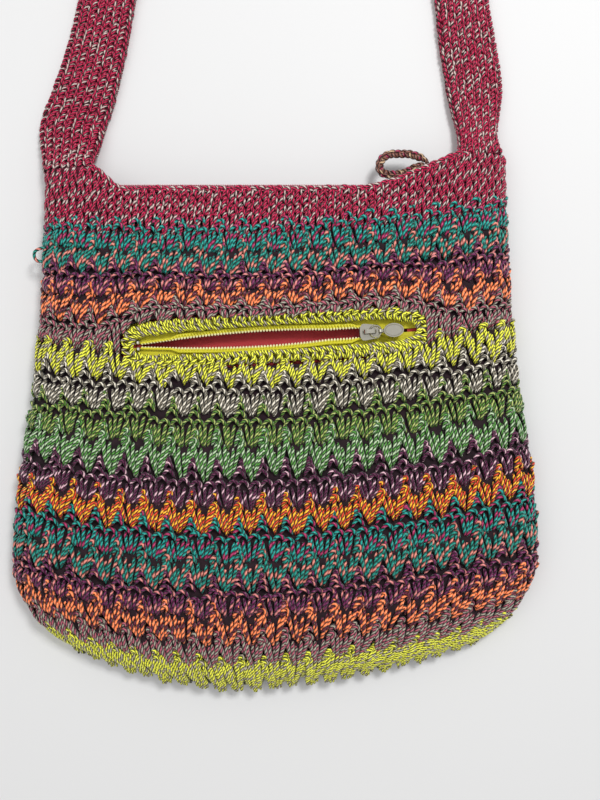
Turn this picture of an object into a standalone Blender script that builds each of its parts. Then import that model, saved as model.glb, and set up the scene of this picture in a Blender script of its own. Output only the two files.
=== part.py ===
"""Crocheted shoulder bag with a zip top, a zip pocket in its front and a crocheted strap.

The bag lies on its back, as when it is laid out on a table. Units are metres: +X is to the right of the
front, +Y runs up the bag towards the strap, and +Z points out of the front. The origin is on the back,
under the middle of the bag, where the back touches what it lies on.
"""
import math

import bmesh
import bpy
import numpy as np
from mathutils import Matrix, Vector

# Crochet shell
RIM_Y = 0.129  # height of the mouth's edge at the middle
BODY_HEIGHT = 0.261
BODY_HALF_WIDTH = 0.1375  # at the widest row, before the stitches stand out of it
BODY_THICKNESS = 0.026  # back to front, at the middle
WALL = 0.0047  # crochet fabric
SIDE_LIFT = 0.025  # how far the ends of the lowest row rise above its middle
SEAM_SHARE = 0.36  # height of the bag's side edge, as a share of the thickness there
FRONT_SQUARENESS = 5
BACK_SQUARENESS = 6
BACK_PRESS = 0.0005  # how far the back is pressed flat
STITCHES_ACROSS = 22  # V stitches in a row, on each face
STITCH_RELIEF = 0.0012  # how far a V stitch stands out
STITCH_POINT = 0.0026  # how far the points of the V stitches reach up and down from their row's edge
SAG_CENTRE = -0.2  # the lowest place of every row, as a share of the half width
SAG_POWER = 1.7

# Rise of the mouth's edge towards the strap, left and right
LEFT_RISE = 0.012
LEFT_RISE_START = 0.078
RIGHT_RISE = 0.019
RIGHT_RISE_START = 0.045
ROOT_INNER_X = 0.096  # the strap's roots start this far from the middle
CRIMSON_BAND = 0.017

# Outline: share of the way down, then half width, left lift, right lift and thickness as shares
OUTLINE = (
    (0.000, 0.880, 0.00, 0.00, 0.85),
    (0.065, 0.882, 0.12, 0.56, 0.88),
    (0.149, 0.885, 0.20, 0.60, 0.95),
    (0.207, 0.888, 0.24, 0.62, 1.00),
    (0.264, 0.893, 0.28, 0.64, 1.00),
    (0.379, 0.912, 0.36, 0.68, 1.00),
    (0.494, 0.938, 0.40, 0.72, 1.00),
    (0.609, 0.973, 0.46, 0.76, 1.00),
    (0.724, 0.993, 0.54, 0.80, 0.98),
    (0.820, 1.000, 0.64, 0.84, 0.93),
    (0.897, 0.955, 0.72, 0.90, 0.81),
    (0.954, 0.890, 0.80, 0.94, 0.62),
    (1.000, 0.800, 0.86, 1.00, 0.35),
)

# Rows from the mouth down: yarn, stitch, height, and how far the pocket pushes the row's lower edge up
ROWS = (
    ("crimson", "single", 0.00425, 0.0),
    ("crimson", "rib", 0.00425, 0.0),
    ("crimson", "single", 0.00425, 0.0),
    ("crimson", "rib", 0.00425, 0.0),
    ("teal_crimson", "single", 0.0130, 0.0),
    ("teal_salmon", "vee", 0.0125, 0.0),
    ("plum_salmon", "single", 0.0140, 0.0040),
    ("coral_plum", "vee", 0.0155, 0.0085),
    ("grey_rose", "single", 0.0120, 0.0190),
    ("yellow_taupe", "single", 0.0008, -0.0060),
    ("yellow_taupe", "vee", 0.0157, -0.0020),
    ("taupe_cream", "single", 0.0150, 0.0),
    ("olive_cream", "single", 0.0125, 0.0),
    ("green_sage", "vee", 0.0190, 0.0),
    ("plum_white", "single", 0.0130, 0.0),
    ("gold_orange", "vee", 0.0150, 0.0),
    ("teal_crimson", "single", 0.0135, 0.0),
    ("teal_salmon", "vee", 0.0165, 0.0),
    ("plum_salmon", "single", 0.0125, 0.0),
    ("coral_plum", "vee", 0.0165, 0.0),
    ("grey_rose", "vee", 0.0130, 0.0),
    ("yellow_taupe", "vee", 0.0140, 0.0),
)
POCKET_PUSH_INNER = 0.055  # the pocket pushes the rows apart fully this far from the middle
POCKET_PUSH_OUTER = 0.098

# Pocket opening, in its own frame: along the zip, and up across it
POCKET_Y = 0.051
POCKET_TILT = math.radians(3.4)
SLOT_HALF_LENGTH = 0.0725
SLOT_HALF_HEIGHT = 0.0065
SLOT_SQUARENESS = 4
EDGING_WIDTH = 0.0065
EDGING_THICKNESS = 0.0040
EDGING_RIDGE = 0.0005
GAP = 0.0003  # between pieces that touch

# Pocket zip
TAPE_THICKNESS = 0.0006
COIL_THICKNESS = 0.0016
COIL_WIDTH = 0.0020
TOOTH_PITCH = 0.00314
TOOTH_DEPTH = 0.0010
TAPE_HALF_WIDTH = 0.0122
TAPE_TOP_Z = 0.0209  # face of the pocket's tapes
POCKET_OPEN_HALF_GAP = 0.0031
POCKET_SLIDER_X = 0.049
POCKET_CHAIN_START = -0.0690
POCKET_CHAIN_END = 0.0630
POCKET_TAPE_END = 0.0770

# Slider, shared by both zips
SLIDER_HALF_LENGTH = 0.0052
SLIDER_NOSE_HALF_WIDTH = 0.0043
SLIDER_TAIL_HALF_WIDTH = 0.0034
SLIDER_PLATE = 0.0012
SLIDER_FLANGE = 0.0007
DIAMOND_LENGTH = 0.0030
DIAMOND_HALF_WIDTH = 0.0010
BAIL_LENGTH = 0.0062
BAIL_WIDTH = 0.0020
BAIL_WIRE = 0.0009
BAIL_HEIGHT = 0.0043
BAIL_OFFSET = -0.0003

# Pocket slider's ring and pull tab
RING_RADIUS = 0.0029
RING_WIRE = 0.00045
PULL_LENGTH = 0.0105
PULL_WIDTH = 0.0074
PULL_THICKNESS = 0.0016
PULL_DISH = 0.0004
PULL_RIM = 0.0010
EYE_HOLE = 0.00080
EYE_OUTER = 0.00135
EYE_WIDTH = 0.0014

# Top zip
MOUTH_HALF_WIDTH = 0.0945
TOP_CHAIN_Y = 0.1305  # middle of the coils in the slider
TOP_CHAIN_MARGIN = 0.0050  # the teeth end this far short of the mouth's ends
TOP_SLIDER_MARGIN = 0.0110
TOP_COIL_THICKNESS = 0.0011
TOP_COIL_WIDTH = 0.0019
TOP_TOOTH_PITCH = 0.00351
TOP_TAPE_DEPTH = 0.0122  # from the coil down into the mouth
TOP_CHAIN_HALF_LENGTH = MOUTH_HALF_WIDTH - TOP_CHAIN_MARGIN
TOP_SLIDER_X = MOUTH_HALF_WIDTH - TOP_SLIDER_MARGIN
TOP_CONVERGE = 0.026  # length in which the coils come together at the slider
TAPE_END_GAP = 0.0020

# Top zip's pull tab and cord loop
TOP_TAB_LENGTH = 0.0085
TOP_TAB_WIDTH = 0.0060
TOP_TAB_ANGLE = math.radians(118)
CORD_RADIUS = 0.0020
CORD_KNOT_RADIUS = 0.0009
CORD_LOOP = (  # the loop's points, from the tab's end
    (-0.0034, 0.0040, 0.0),
    (-0.0100, 0.0056, 0.0),
    (-0.0170, 0.0056, 0.0),
    (-0.0226, 0.0032, 0.0),
    (-0.0242, -0.0012, 0.0),
    (-0.0222, -0.0046, 0.0),
    (-0.0170, -0.0054, 0.0),
    (-0.0114, -0.0046, 0.0),
    (-0.0060, -0.0020, 0.0),
)

# Cutters
CUTTER_REACH = 0.030  # how far a cutter reaches past an open side
HOLE_CUT_DEPTH = 0.004  # how far the pocket's cutter reaches below the inner face of the front

# Linings
LINING = 0.0008
HOLLOW_ROWS = 9
NECK_ROWS = 7
HOLLOW_COLUMNS = 12
HOLLOW_SQUARENESS = 9
MOUTH_SQUARENESS = 20
POUCH_WALL = 0.0006
POUCH_HALF_LENGTH = 0.0790
POUCH_TOP = 0.0140  # above the zip's middle line
POUCH_DEPTH = 0.0900  # below the zip's middle line
POUCH_CORNER = 0.0100
POUCH_HOLLOW = 0.0045  # room inside, back to front

# Strap: its middle line with the width and thickness there, from the left root round to the right root
STRAP_BED = 0.0001
STRAP_RIDGE = 0.00035
STRAP_STATIONS = 46
STRAP = (
    (-0.1096, 0.1413, 0.0085, 0.0262, 0.0090),
    (-0.1100, 0.1460, 0.0072, 0.0266, 0.0075),
    (-0.1099, 0.1520, 0.0050, 0.0300, 0.0060),
    (-0.1090, 0.1640, 0.0032, 0.0345, 0.0050),
    (-0.1050, 0.1760, 0.0027, 0.0340, 0.0048),
    (-0.0976, 0.2000, 0.0026, 0.0320, 0.0048),
    (-0.0907, 0.2320, 0.0026, 0.0300, 0.0048),
    (-0.0845, 0.2700, 0.0026, 0.0298, 0.0048),
    (-0.0800, 0.3100, 0.0026, 0.0298, 0.0048),
    (-0.0755, 0.3500, 0.0026, 0.0298, 0.0048),
    (-0.0620, 0.3870, 0.0026, 0.0298, 0.0048),
    (-0.0340, 0.4150, 0.0026, 0.0298, 0.0048),
    (0.0050, 0.4250, 0.0026, 0.0298, 0.0048),
    (0.0440, 0.4150, 0.0026, 0.0298, 0.0048),
    (0.0720, 0.3870, 0.0026, 0.0298, 0.0048),
    (0.0860, 0.3500, 0.0026, 0.0298, 0.0048),
    (0.0920, 0.3100, 0.0026, 0.0298, 0.0048),
    (0.0960, 0.2700, 0.0026, 0.0298, 0.0048),
    (0.0998, 0.2320, 0.0026, 0.0285, 0.0048),
    (0.1028, 0.2100, 0.0026, 0.0300, 0.0048),
    (0.1062, 0.1880, 0.0028, 0.0300, 0.0050),
    (0.1072, 0.1700, 0.0040, 0.0240, 0.0068),
    (0.1075, 0.1590, 0.0060, 0.0200, 0.0082),
    (0.1080, 0.1530, 0.0075, 0.0215, 0.0088),
    (0.1084, 0.1483, 0.0085, 0.0236, 0.0092),
)

COLOURS = {
    "crimson": 0xB01F4F,
    "teal_crimson": 0x2B7A78,
    "teal_salmon": 0x4A938A,
    "plum_salmon": 0x6B2A52,
    "coral_plum": 0xE8714F,
    "grey_rose": 0x94807A,
    "yellow_taupe": 0xCBCB3A,
    "taupe_cream": 0x8C8474,
    "olive_cream": 0x6E7A4C,
    "green_sage": 0x5E8A50,
    "plum_white": 0x5B2A48,
    "gold_orange": 0xE8922C,
    "zip_yellow": 0xD9D020,
    "zip_crimson": 0x9E2146,
    "lining_crimson": 0x8E1F2E,
    "antique_nickel": 0xB4B09C,
    "braid_brown": 0x6B4238,
}


def shaped(values, places, at):
    """Reads a curve through (places, values) at 'at': cubic pieces whose slopes never overshoot the points."""
    places = np.asarray(places, float)
    values = np.asarray(values, float)
    steps = np.diff(places)
    slopes = np.diff(values) / steps
    tangents = np.zeros_like(values)
    same_way = slopes[:-1] * slopes[1:] > 0
    mean = 2 * slopes[:-1] * slopes[1:] / np.where(same_way, slopes[:-1] + slopes[1:], 1)
    tangents[1:-1] = np.where(same_way, mean, 0)
    tangents[0] = slopes[0]
    tangents[-1] = slopes[-1]
    at = np.clip(at, places[0], places[-1])
    piece = np.clip(np.searchsorted(places, at, side="right") - 1, 0, len(steps) - 1)
    t = (at - places[piece]) / steps[piece]
    height = steps[piece]
    return ((1 + 2 * t) * (1 - t) ** 2 * values[piece] + t * (1 - t) ** 2 * height * tangents[piece]
            + t * t * (3 - 2 * t) * values[piece + 1] + t * t * (t - 1) * height * tangents[piece + 1])


def ease(low, high, value):
    """0 below low, 1 above high, and a smooth step between them."""
    t = np.clip((value - low) / (high - low), 0, 1)
    return t * t * (3 - 2 * t)


def outline_value(column, row_y):
    """A column of OUTLINE, read at the row whose middle lies at row_y."""
    table = np.array(OUTLINE)
    down = (RIM_Y - np.asarray(row_y, float)) / BODY_HEIGHT
    return shaped(table[:, column], table[:, 0], down)


def half_width(row_y):
    return BODY_HALF_WIDTH * outline_value(1, row_y)


def thickness(row_y):
    return BODY_THICKNESS * outline_value(4, row_y)


def row_lift(row_y, share):
    """How far a row rises above its lowest place, at a share of the half width from -1 to 1."""
    left = SIDE_LIFT * outline_value(2, row_y)
    right = SIDE_LIFT * outline_value(3, row_y)
    reach = np.where(share < SAG_CENTRE, 1 + SAG_CENTRE, 1 - SAG_CENTRE)
    side = np.where(share < SAG_CENTRE, left, right)
    return side * (np.abs(share - SAG_CENTRE) / reach) ** SAG_POWER


def rim_rise(x):
    """Rise of the mouth's edge towards the strap's roots."""
    left = LEFT_RISE * ease(LEFT_RISE_START, ROOT_INNER_X, -x)
    right = RIGHT_RISE * np.clip((x - RIGHT_RISE_START) / (ROOT_INNER_X - RIGHT_RISE_START), 0, 1) ** 1.3
    return left + right


def front_height(row_y, share):
    """Z of the shell's front, without stitches: a flat crown that rounds off to the side edge."""
    seam = SEAM_SHARE * thickness(row_y)
    return seam + (thickness(row_y) - seam) * np.sqrt(1 - np.abs(share) ** FRONT_SQUARENESS)


def back_height(row_y, share):
    """Z of the shell's back: pressed flat on the table, and rounded up to the side edge."""
    seam = SEAM_SHARE * thickness(row_y)
    return np.maximum(seam - (seam + BACK_PRESS) * np.sqrt(1 - np.abs(share) ** BACK_SQUARENESS), 0)


def material(name, roughness=0.85, metallic=0.0):
    found = bpy.data.materials.get(name)
    if found:
        return found
    made = bpy.data.materials.new(name)
    made.use_nodes = True
    shader = made.node_tree.nodes["Principled BSDF"]
    channels = [(COLOURS[name] >> shift & 255) / 255 for shift in (16, 8, 0)]
    linear = [c / 12.92 if c <= 0.04045 else ((c + 0.055) / 1.055) ** 2.4 for c in channels]
    shader.inputs["Base Color"].default_value = (*linear, 1)
    shader.inputs["Roughness"].default_value = roughness
    shader.inputs["Metallic"].default_value = metallic
    made.diffuse_color = (*linear, 1)
    return made


def metal():
    return material("antique_nickel", roughness=0.3, metallic=1.0)


def add_piece(name, vertices, faces, materials, face_slots=None, smooth=math.radians(40), place=None):
    """Makes a mesh object, in world coordinates or in the frame 'place'."""
    mesh = bpy.data.meshes.new(name)
    mesh.from_pydata([tuple(v) for v in vertices], [], [tuple(f) for f in faces])
    for each in materials:
        mesh.materials.append(each)
    if face_slots is not None:
        mesh.polygons.foreach_set("material_index", np.asarray(face_slots, np.int32))
    mesh.shade_smooth()
    mesh.set_sharp_from_angle(angle=smooth)
    piece = bpy.data.objects.new(name, mesh)
    bpy.context.scene.collection.objects.link(piece)
    if place is not None:
        piece.matrix_world = place
    return piece


def loft(sections, ring=False):
    """Skins an array of closed sections (section, point, xyz): quads between them, and flat caps at the ends."""
    sections = np.asarray(sections, float)
    count, points, _ = sections.shape
    rows = count if ring else count - 1
    first, second = np.meshgrid(np.arange(rows), np.arange(points), indexing="ij")
    following = (second + 1) % points
    above = (first + 1) % count
    faces = np.stack([first * points + second, first * points + following,
                      above * points + following, above * points + second], axis=-1).reshape(-1, 4).tolist()
    if not ring:
        faces.append(list(range(points))[::-1])
        faces.append(list(range((count - 1) * points, count * points)))
    return sections.reshape(-1, 3), faces


def seam_cap(start, points, outward):
    """Closes a flat loop of the bag by a strip of faces between its front half and its back half."""
    faces = []
    half = points // 2
    for i in range(half):
        if i == 0:
            face = [start, start + 1, start + points - 1]
        elif i == half - 1:
            face = [start + i, start + half, start + points - i]
        else:
            face = [start + i, start + i + 1, start + points - i - 1, start + points - i]
        faces.append(face if outward else face[::-1])
    return faces


def cut(piece, cutter, operation="DIFFERENCE"):
    """Leaves a live Boolean on the piece, with its cutter kept in the scene as a wire guide."""
    cutter.hide_render = True
    cutter.display_type = "WIRE"
    change = piece.modifiers.new(cutter.name, "BOOLEAN")
    change.operation = operation
    change.solver = "EXACT"
    change.object = cutter


def shares_round(stitch_columns):
    """Places round a row: shares of the half width along the front from left to right, then back again."""
    front = np.linspace(-1, 1, stitch_columns + 1)
    return np.concatenate([front, front[-2:0:-1]]), stitch_columns + 1


def shell_loop(row_y, push, relief, point):
    """One loop of the shell's outside, with its stitches' relief and points."""
    columns = 2 * STITCHES_ACROSS
    share, front_count = shares_round(columns)
    is_front = np.arange(len(share)) < front_count
    x = half_width(row_y) * share
    zigzag = np.where(np.arange(len(share)) % 2 == 0, -1.0, 1.0)
    window = 1 - ease(POCKET_PUSH_INNER, POCKET_PUSH_OUTER, np.abs(x))
    band = ease(RIM_Y - CRIMSON_BAND, RIM_Y, row_y)
    y = row_y + row_lift(row_y, share) + rim_rise(x) * band + point * zigzag
    y = y + np.where(is_front, push * window, 0)
    z = np.where(is_front, front_height(row_y, share), back_height(row_y, share))
    along = np.stack([np.roll(x, -1) - np.roll(x, 1), np.roll(z, -1) - np.roll(z, 1)])
    along = along / np.linalg.norm(along, axis=0)
    free = np.where(is_front, 1, ease(0.6, 0.85, np.abs(share)))
    out = (relief - 0.5 * abs(relief) * (zigzag > 0) * (point > 0)) * free
    x = x - along[1] * out
    z = np.maximum(z + along[0] * out, 0)
    return np.stack([x, y, z], axis=1)


def shell_loops():
    """The shell's loops from the mouth down, and the yarn of the faces under each."""
    total = sum(row[2] for row in ROWS)
    scale = BODY_HEIGHT / total
    loops = [shell_loop(RIM_Y, 0, 0, 0)]
    yarns = []
    row_y = RIM_Y
    for yarn, stitch, height, push in ROWS:
        lower = row_y - height * scale
        last = lower < RIM_Y - BODY_HEIGHT + 1e-6
        if stitch == "vee":
            crest = row_y + 0.45 * (lower - row_y)
            loops.append(shell_loop(crest, push, STITCH_RELIEF, 0.2 * STITCH_POINT))
            yarns.append(yarn)
            loops.append(shell_loop(lower, push, 0 if last else -0.4 * STITCH_RELIEF, STITCH_POINT))
        elif stitch == "rib":
            loops.append(shell_loop(lower, push, -0.3 * STITCH_RELIEF, 0))
        else:
            loops.append(shell_loop(lower, push, 0.2 * STITCH_RELIEF, 0))
        yarns.append(yarn)
        row_y = lower
    return np.array(loops), yarns


def hollow_rows(end_gap=0.0):
    """Rows of the space inside the shell, from the edge of the main lining down."""
    lining_edge = TOP_CHAIN_Y - TOP_TAPE_DEPTH - GAP - LINING
    bottom = RIM_Y - BODY_HEIGHT + 1.8 * WALL
    neck = np.linspace(lining_edge, RIM_Y - 3.1 * CRIMSON_BAND, NECK_ROWS)
    rows = np.concatenate([neck[:-1], np.linspace(neck[-1], bottom, HOLLOW_ROWS)])
    rows[-1] += end_gap
    return rows


def hollow_loops(gap, rows, ceiling=None):
    """Loops of the space inside the shell, moved inwards by 'gap', with its front no higher than 'ceiling'.

    Towards the mouth the space narrows between the strap's roots, and its loops are level there.
    """
    loops = []
    for row_y in rows:
        neck = ease(RIM_Y - 3 * CRIMSON_BAND, RIM_Y - CRIMSON_BAND, row_y)
        front, front_bulge = hollow_section(HOLLOW_SQUARENESS + neck * (MOUTH_SQUARENESS - HOLLOW_SQUARENESS))
        share = np.concatenate([front, front[-2:0:-1]])
        bulge = np.concatenate([front_bulge, front_bulge[-2:0:-1]])
        is_front = np.arange(len(share)) < len(front)
        inside = half_width(row_y) - WALL - gap
        side = inside + (MOUTH_HALF_WIDTH - gap - inside) * neck
        low = WALL - GAP + gap
        high = thickness(row_y) - WALL - gap
        seam = SEAM_SHARE * thickness(row_y)
        middle = seam + neck * (hollow_middle(row_y) - seam)
        z = np.where(is_front, middle + (high - middle) * bulge, middle - (middle - low) * bulge)
        if ceiling:
            z = np.minimum(z, ceiling(row_y))
        y = row_y + row_lift(row_y, share) * (1 - neck)
        loops.append(np.stack([side * share, y, z], axis=1))
    return np.array(loops)


def hollow_section(squareness):
    """Half of the space's section: shares of the half width, and shares of the half height there."""
    share = np.sin(np.linspace(-math.pi / 2, math.pi / 2, HOLLOW_COLUMNS + 1))
    return share, np.sqrt(1 - np.abs(share) ** squareness)


def hollow_middle(row_y):
    """Z midway between the back wall and the front wall."""
    return (thickness(row_y) - GAP) / 2


def pocket_frame(z=0.0):
    """Frame of the pocket zip: X along the zip, Y up across it, at height z."""
    return Matrix.Translation((0, POCKET_Y, z)) @ Matrix.Rotation(POCKET_TILT, 4, "Z")


def slot_outline(offset, count=44):
    """The pocket opening's outline, moved outwards by 'offset': a long shape between an oval and a box."""
    turn = np.linspace(0, 2 * math.pi, count, endpoint=False) + math.pi / count
    power = 2 / SLOT_SQUARENESS
    x = SLOT_HALF_LENGTH * np.sign(np.cos(turn)) * np.abs(np.cos(turn)) ** power
    y = SLOT_HALF_HEIGHT * np.sign(np.sin(turn)) * np.abs(np.sin(turn)) ** power
    dx = np.roll(x, -1) - np.roll(x, 1)
    dy = np.roll(y, -1) - np.roll(y, 1)
    length = np.hypot(dx, dy)
    return np.stack([x + offset * dy / length, y - offset * dx / length], axis=1)


def slot_prism(name, offset, low, high):
    """A cutter through the front wall, in the shape of the pocket opening."""
    flat = slot_outline(offset)
    sections = [np.column_stack([flat, np.full(len(flat), z)]) for z in (low, high)]
    vertices, faces = loft(sections)
    return add_piece(name, vertices, faces, [], place=pocket_frame())


def crochet_body():
    loops, yarns = shell_loops()
    count, points, _ = loops.shape
    vertices, faces = loft(loops)
    faces = faces[:-2]
    faces = [face[::-1] for face in faces]
    names = list(dict.fromkeys(yarns))
    slots = [names.index(yarns[i // points]) for i in range(len(faces))]
    top = seam_cap(0, points, True)
    bottom = seam_cap((count - 1) * points, points, False)
    faces += top + bottom
    slots += [0] * len(top) + [names.index(yarns[-1])] * len(bottom)
    body = add_piece("crochet_body", vertices, faces, [material(name) for name in names], slots)
    rows = np.concatenate([[RIM_Y + CUTTER_REACH, RIM_Y], hollow_rows()])
    loops = hollow_loops(0, rows)
    vertices, faces = loft(loops)
    faces = [face[::-1] for face in faces[:-2]]
    faces += seam_cap(0, loops.shape[1], True) + seam_cap((len(loops) - 1) * loops.shape[1], loops.shape[1], False)
    cut(body, add_piece("cutter_bag_hollow", vertices, faces, []))
    cut(body, slot_prism("cutter_pocket_hole", EDGING_WIDTH + GAP, BODY_THICKNESS - WALL - HOLE_CUT_DEPTH,
                          BODY_THICKNESS + CUTTER_REACH))
    return body


def pocket_edging():
    """Two rounds of single crochet round the pocket opening: a ring with a groove between the rounds."""
    bottom = BODY_THICKNESS - WALL
    top = bottom + EDGING_THICKNESS
    profile = ((0, bottom), (0, top - EDGING_RIDGE), (0.25, top), (0.5, top - 2 * EDGING_RIDGE), (0.75, top),
               (1, top - EDGING_RIDGE), (1, bottom))
    rings = [np.column_stack([slot_outline(share * EDGING_WIDTH), np.full(44, z)]) for share, z in profile]
    sections = np.stack(rings, axis=1)
    vertices, faces = loft(sections, ring=True)
    return add_piece("pocket_edging", vertices, faces, [material("yellow_taupe")], place=pocket_frame())


def strap():
    """The crocheted strip: ridges along its upper face, laid along its middle line."""
    table = np.array(STRAP)
    along = np.concatenate([[0], np.cumsum(np.linalg.norm(np.diff(table[:, :3], axis=0), axis=1))])
    ends = np.array([0.0, 0.0045, 0.011])
    spread = np.linspace(0.02, along[-1] - 0.02, STRAP_STATIONS - 6)
    at = np.concatenate([ends, spread, along[-1] - ends[::-1]])
    x, y, z, width, thick = (shaped(table[:, i], along, at) for i in range(5))
    dx = np.gradient(x, at)
    dy = np.gradient(y, at)
    dx[[0, -1]] = 0
    dy[0], dy[-1] = 1, -1
    length = np.hypot(dx, dy)
    right = np.stack([dy / length, -dx / length], axis=1)
    shares = np.linspace(-1, 1, 9)
    sections = []
    for i in range(len(at)):
        low = max(z[i] - thick[i] / 2, STRAP_BED)
        high = low + thick[i]
        crest = high - STRAP_RIDGE * (1 - np.cos(shares * 4 * math.pi)) / 2 - 0.25 * thick[i] * shares ** 8
        upper = [(x[i] + right[i, 0] * s * width[i] / 2, y[i] + right[i, 1] * s * width[i] / 2, c)
                 for s, c in zip(shares, crest)]
        lower = [(x[i] + right[i, 0] * s * width[i] / 2, y[i] + right[i, 1] * s * width[i] / 2, low)
                 for s in (0.92, -0.92)]
        sections.append(upper + lower)
    vertices, faces = loft(sections)
    return add_piece("shoulder_strap", vertices, faces, [material("crimson")], smooth=math.radians(60))


def lining_shell(name, outer, inner, colour):
    """A cloth bag: its outside loops from the mouth down, its inside loops back up, and one edge at the mouth."""
    loops = np.concatenate([inner[::-1], outer])
    points = loops.shape[1]
    vertices, faces = loft(loops)
    faces = [face[::-1] for face in faces[:-2]]
    faces += seam_cap(0, points, True) + seam_cap((len(loops) - 1) * points, points, False)
    return add_piece(name, vertices, faces, [material(colour)])


def pouch_back():
    """Z of the back of the pouch."""
    return TAPE_TOP_Z - TAPE_THICKNESS - GAP - POUCH_HOLLOW - 2 * POUCH_WALL


def behind_pouch(row_y):
    """The main lining's front runs behind the pouch, and up to the front wall above and below it."""
    slope = POUCH_HALF_LENGTH * math.sin(POCKET_TILT)
    high = POCKET_Y + POUCH_TOP + slope + GAP
    low = POCKET_Y - POUCH_DEPTH - slope - GAP
    spacing = BODY_HEIGHT / HOLLOW_ROWS
    away = np.maximum(ease(high + spacing, high + 2 * spacing, row_y), 1 - ease(low - 3 * spacing, low - 2 * spacing, row_y))
    return pouch_back() - GAP + away * BODY_THICKNESS


def main_lining():
    outer = hollow_loops(2 * GAP, hollow_rows(2 * GAP), behind_pouch)
    inner = hollow_loops(2 * GAP + LINING, hollow_rows(2 * GAP + LINING), lambda row_y: behind_pouch(row_y) - LINING)
    return lining_shell("main_lining", outer, inner, "lining_crimson")


def rounded_box(half_length, low_y, high_y, corner, low_z, high_z):
    """A flat box with rounded corners in plan."""
    outline = []
    centres = ((half_length - corner, high_y - corner, 0), (corner - half_length, high_y - corner, 90),
               (corner - half_length, low_y + corner, 180), (half_length - corner, low_y + corner, 270))
    for cx, cy, start in centres:
        for step in range(4):
            turn = math.radians(start + 30 * step)
            outline.append((cx + corner * math.cos(turn), cy + corner * math.sin(turn)))
    flat = np.array(outline)
    return loft([np.column_stack([flat, np.full(len(flat), z)]) for z in (low_z, high_z)])


def pocket_lining():
    """The pouch behind the pocket zip: a flat cloth envelope, open along the zip."""
    front = TAPE_TOP_Z - TAPE_THICKNESS - GAP
    hollow_top = front - POUCH_WALL
    hollow_bottom = hollow_top - POUCH_HOLLOW
    vertices, faces = rounded_box(POUCH_HALF_LENGTH, -POUCH_DEPTH, POUCH_TOP, POUCH_CORNER,
                                  hollow_bottom - POUCH_WALL, front)
    pouch = add_piece("pocket_lining", vertices, faces, [material("lining_crimson")], place=pocket_frame())
    vertices, faces = rounded_box(POUCH_HALF_LENGTH - POUCH_WALL, POUCH_WALL - POUCH_DEPTH, POUCH_TOP - POUCH_WALL,
                                  POUCH_CORNER - POUCH_WALL, hollow_bottom, hollow_top)
    cut(pouch, add_piece("cutter_pouch_hollow", vertices, faces, [], place=pocket_frame()))
    mouth = SLIDER_NOSE_HALF_WIDTH + 3 * GAP
    vertices, faces = rounded_box(SLOT_HALF_LENGTH - 0.004, -mouth, mouth, 0.003, hollow_top - 0.001, front + 0.001)
    cut(pouch, add_piece("cutter_pouch_mouth", vertices, faces, [], place=pocket_frame()))
    return pouch


def bar(centres, across, upright, inner, outer, half_thick):
    """Sweeps a rectangular bar: 'across' reaches from inner to outer, 'upright' is its thickness."""
    centres = np.asarray(centres, float)
    inner = np.broadcast_to(inner, len(centres))[:, None]
    outer = np.broadcast_to(outer, len(centres))[:, None]
    corners = [centres + across * inner - upright * half_thick, centres + across * outer - upright * half_thick,
               centres + across * outer + upright * half_thick, centres + across * inner + upright * half_thick]
    return loft(np.stack(corners, axis=1))


def outwards(vertices, faces):
    """Turns the faces so that the solid's volume is positive."""
    vertices = np.asarray(vertices, float)
    volume = 0.0
    for face in faces:
        for i in range(1, len(face) - 1):
            a, b, c = vertices[face[0]], vertices[face[i]], vertices[face[i + 1]]
            volume += np.dot(a, np.cross(b, c))
    return faces if volume > 0 else [face[::-1] for face in faces]


def teeth_places(start, end, pitch):
    """Two places for each tooth, its tip and its root, and the zigzag between them from -1 to 1."""
    count = 2 * int(round((end - start) / pitch)) + 1
    places = np.linspace(start, end, count)
    return places, np.where(np.arange(count) % 2 == 0, 1.0, -1.0)


def pocket_gap(x):
    """Half of the open gap between the pocket's rows of teeth: closed behind the slider and at the far end."""
    nose = POCKET_SLIDER_X - SLIDER_HALF_LENGTH
    closed = POCKET_SLIDER_X + 0.2 * SLIDER_HALF_LENGTH
    share = np.clip((x - POCKET_CHAIN_START) / (nose - POCKET_CHAIN_START), 0, 1)
    lens = np.sin(math.pi * share ** 1.15) ** 0.8
    throat = DIAMOND_HALF_WIDTH + GAP + TOOTH_DEPTH / 2
    return np.maximum(POCKET_OPEN_HALF_GAP * lens, throat * (1 - ease(nose, closed, x)) * ease(0.2, 0.9, share))


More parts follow.
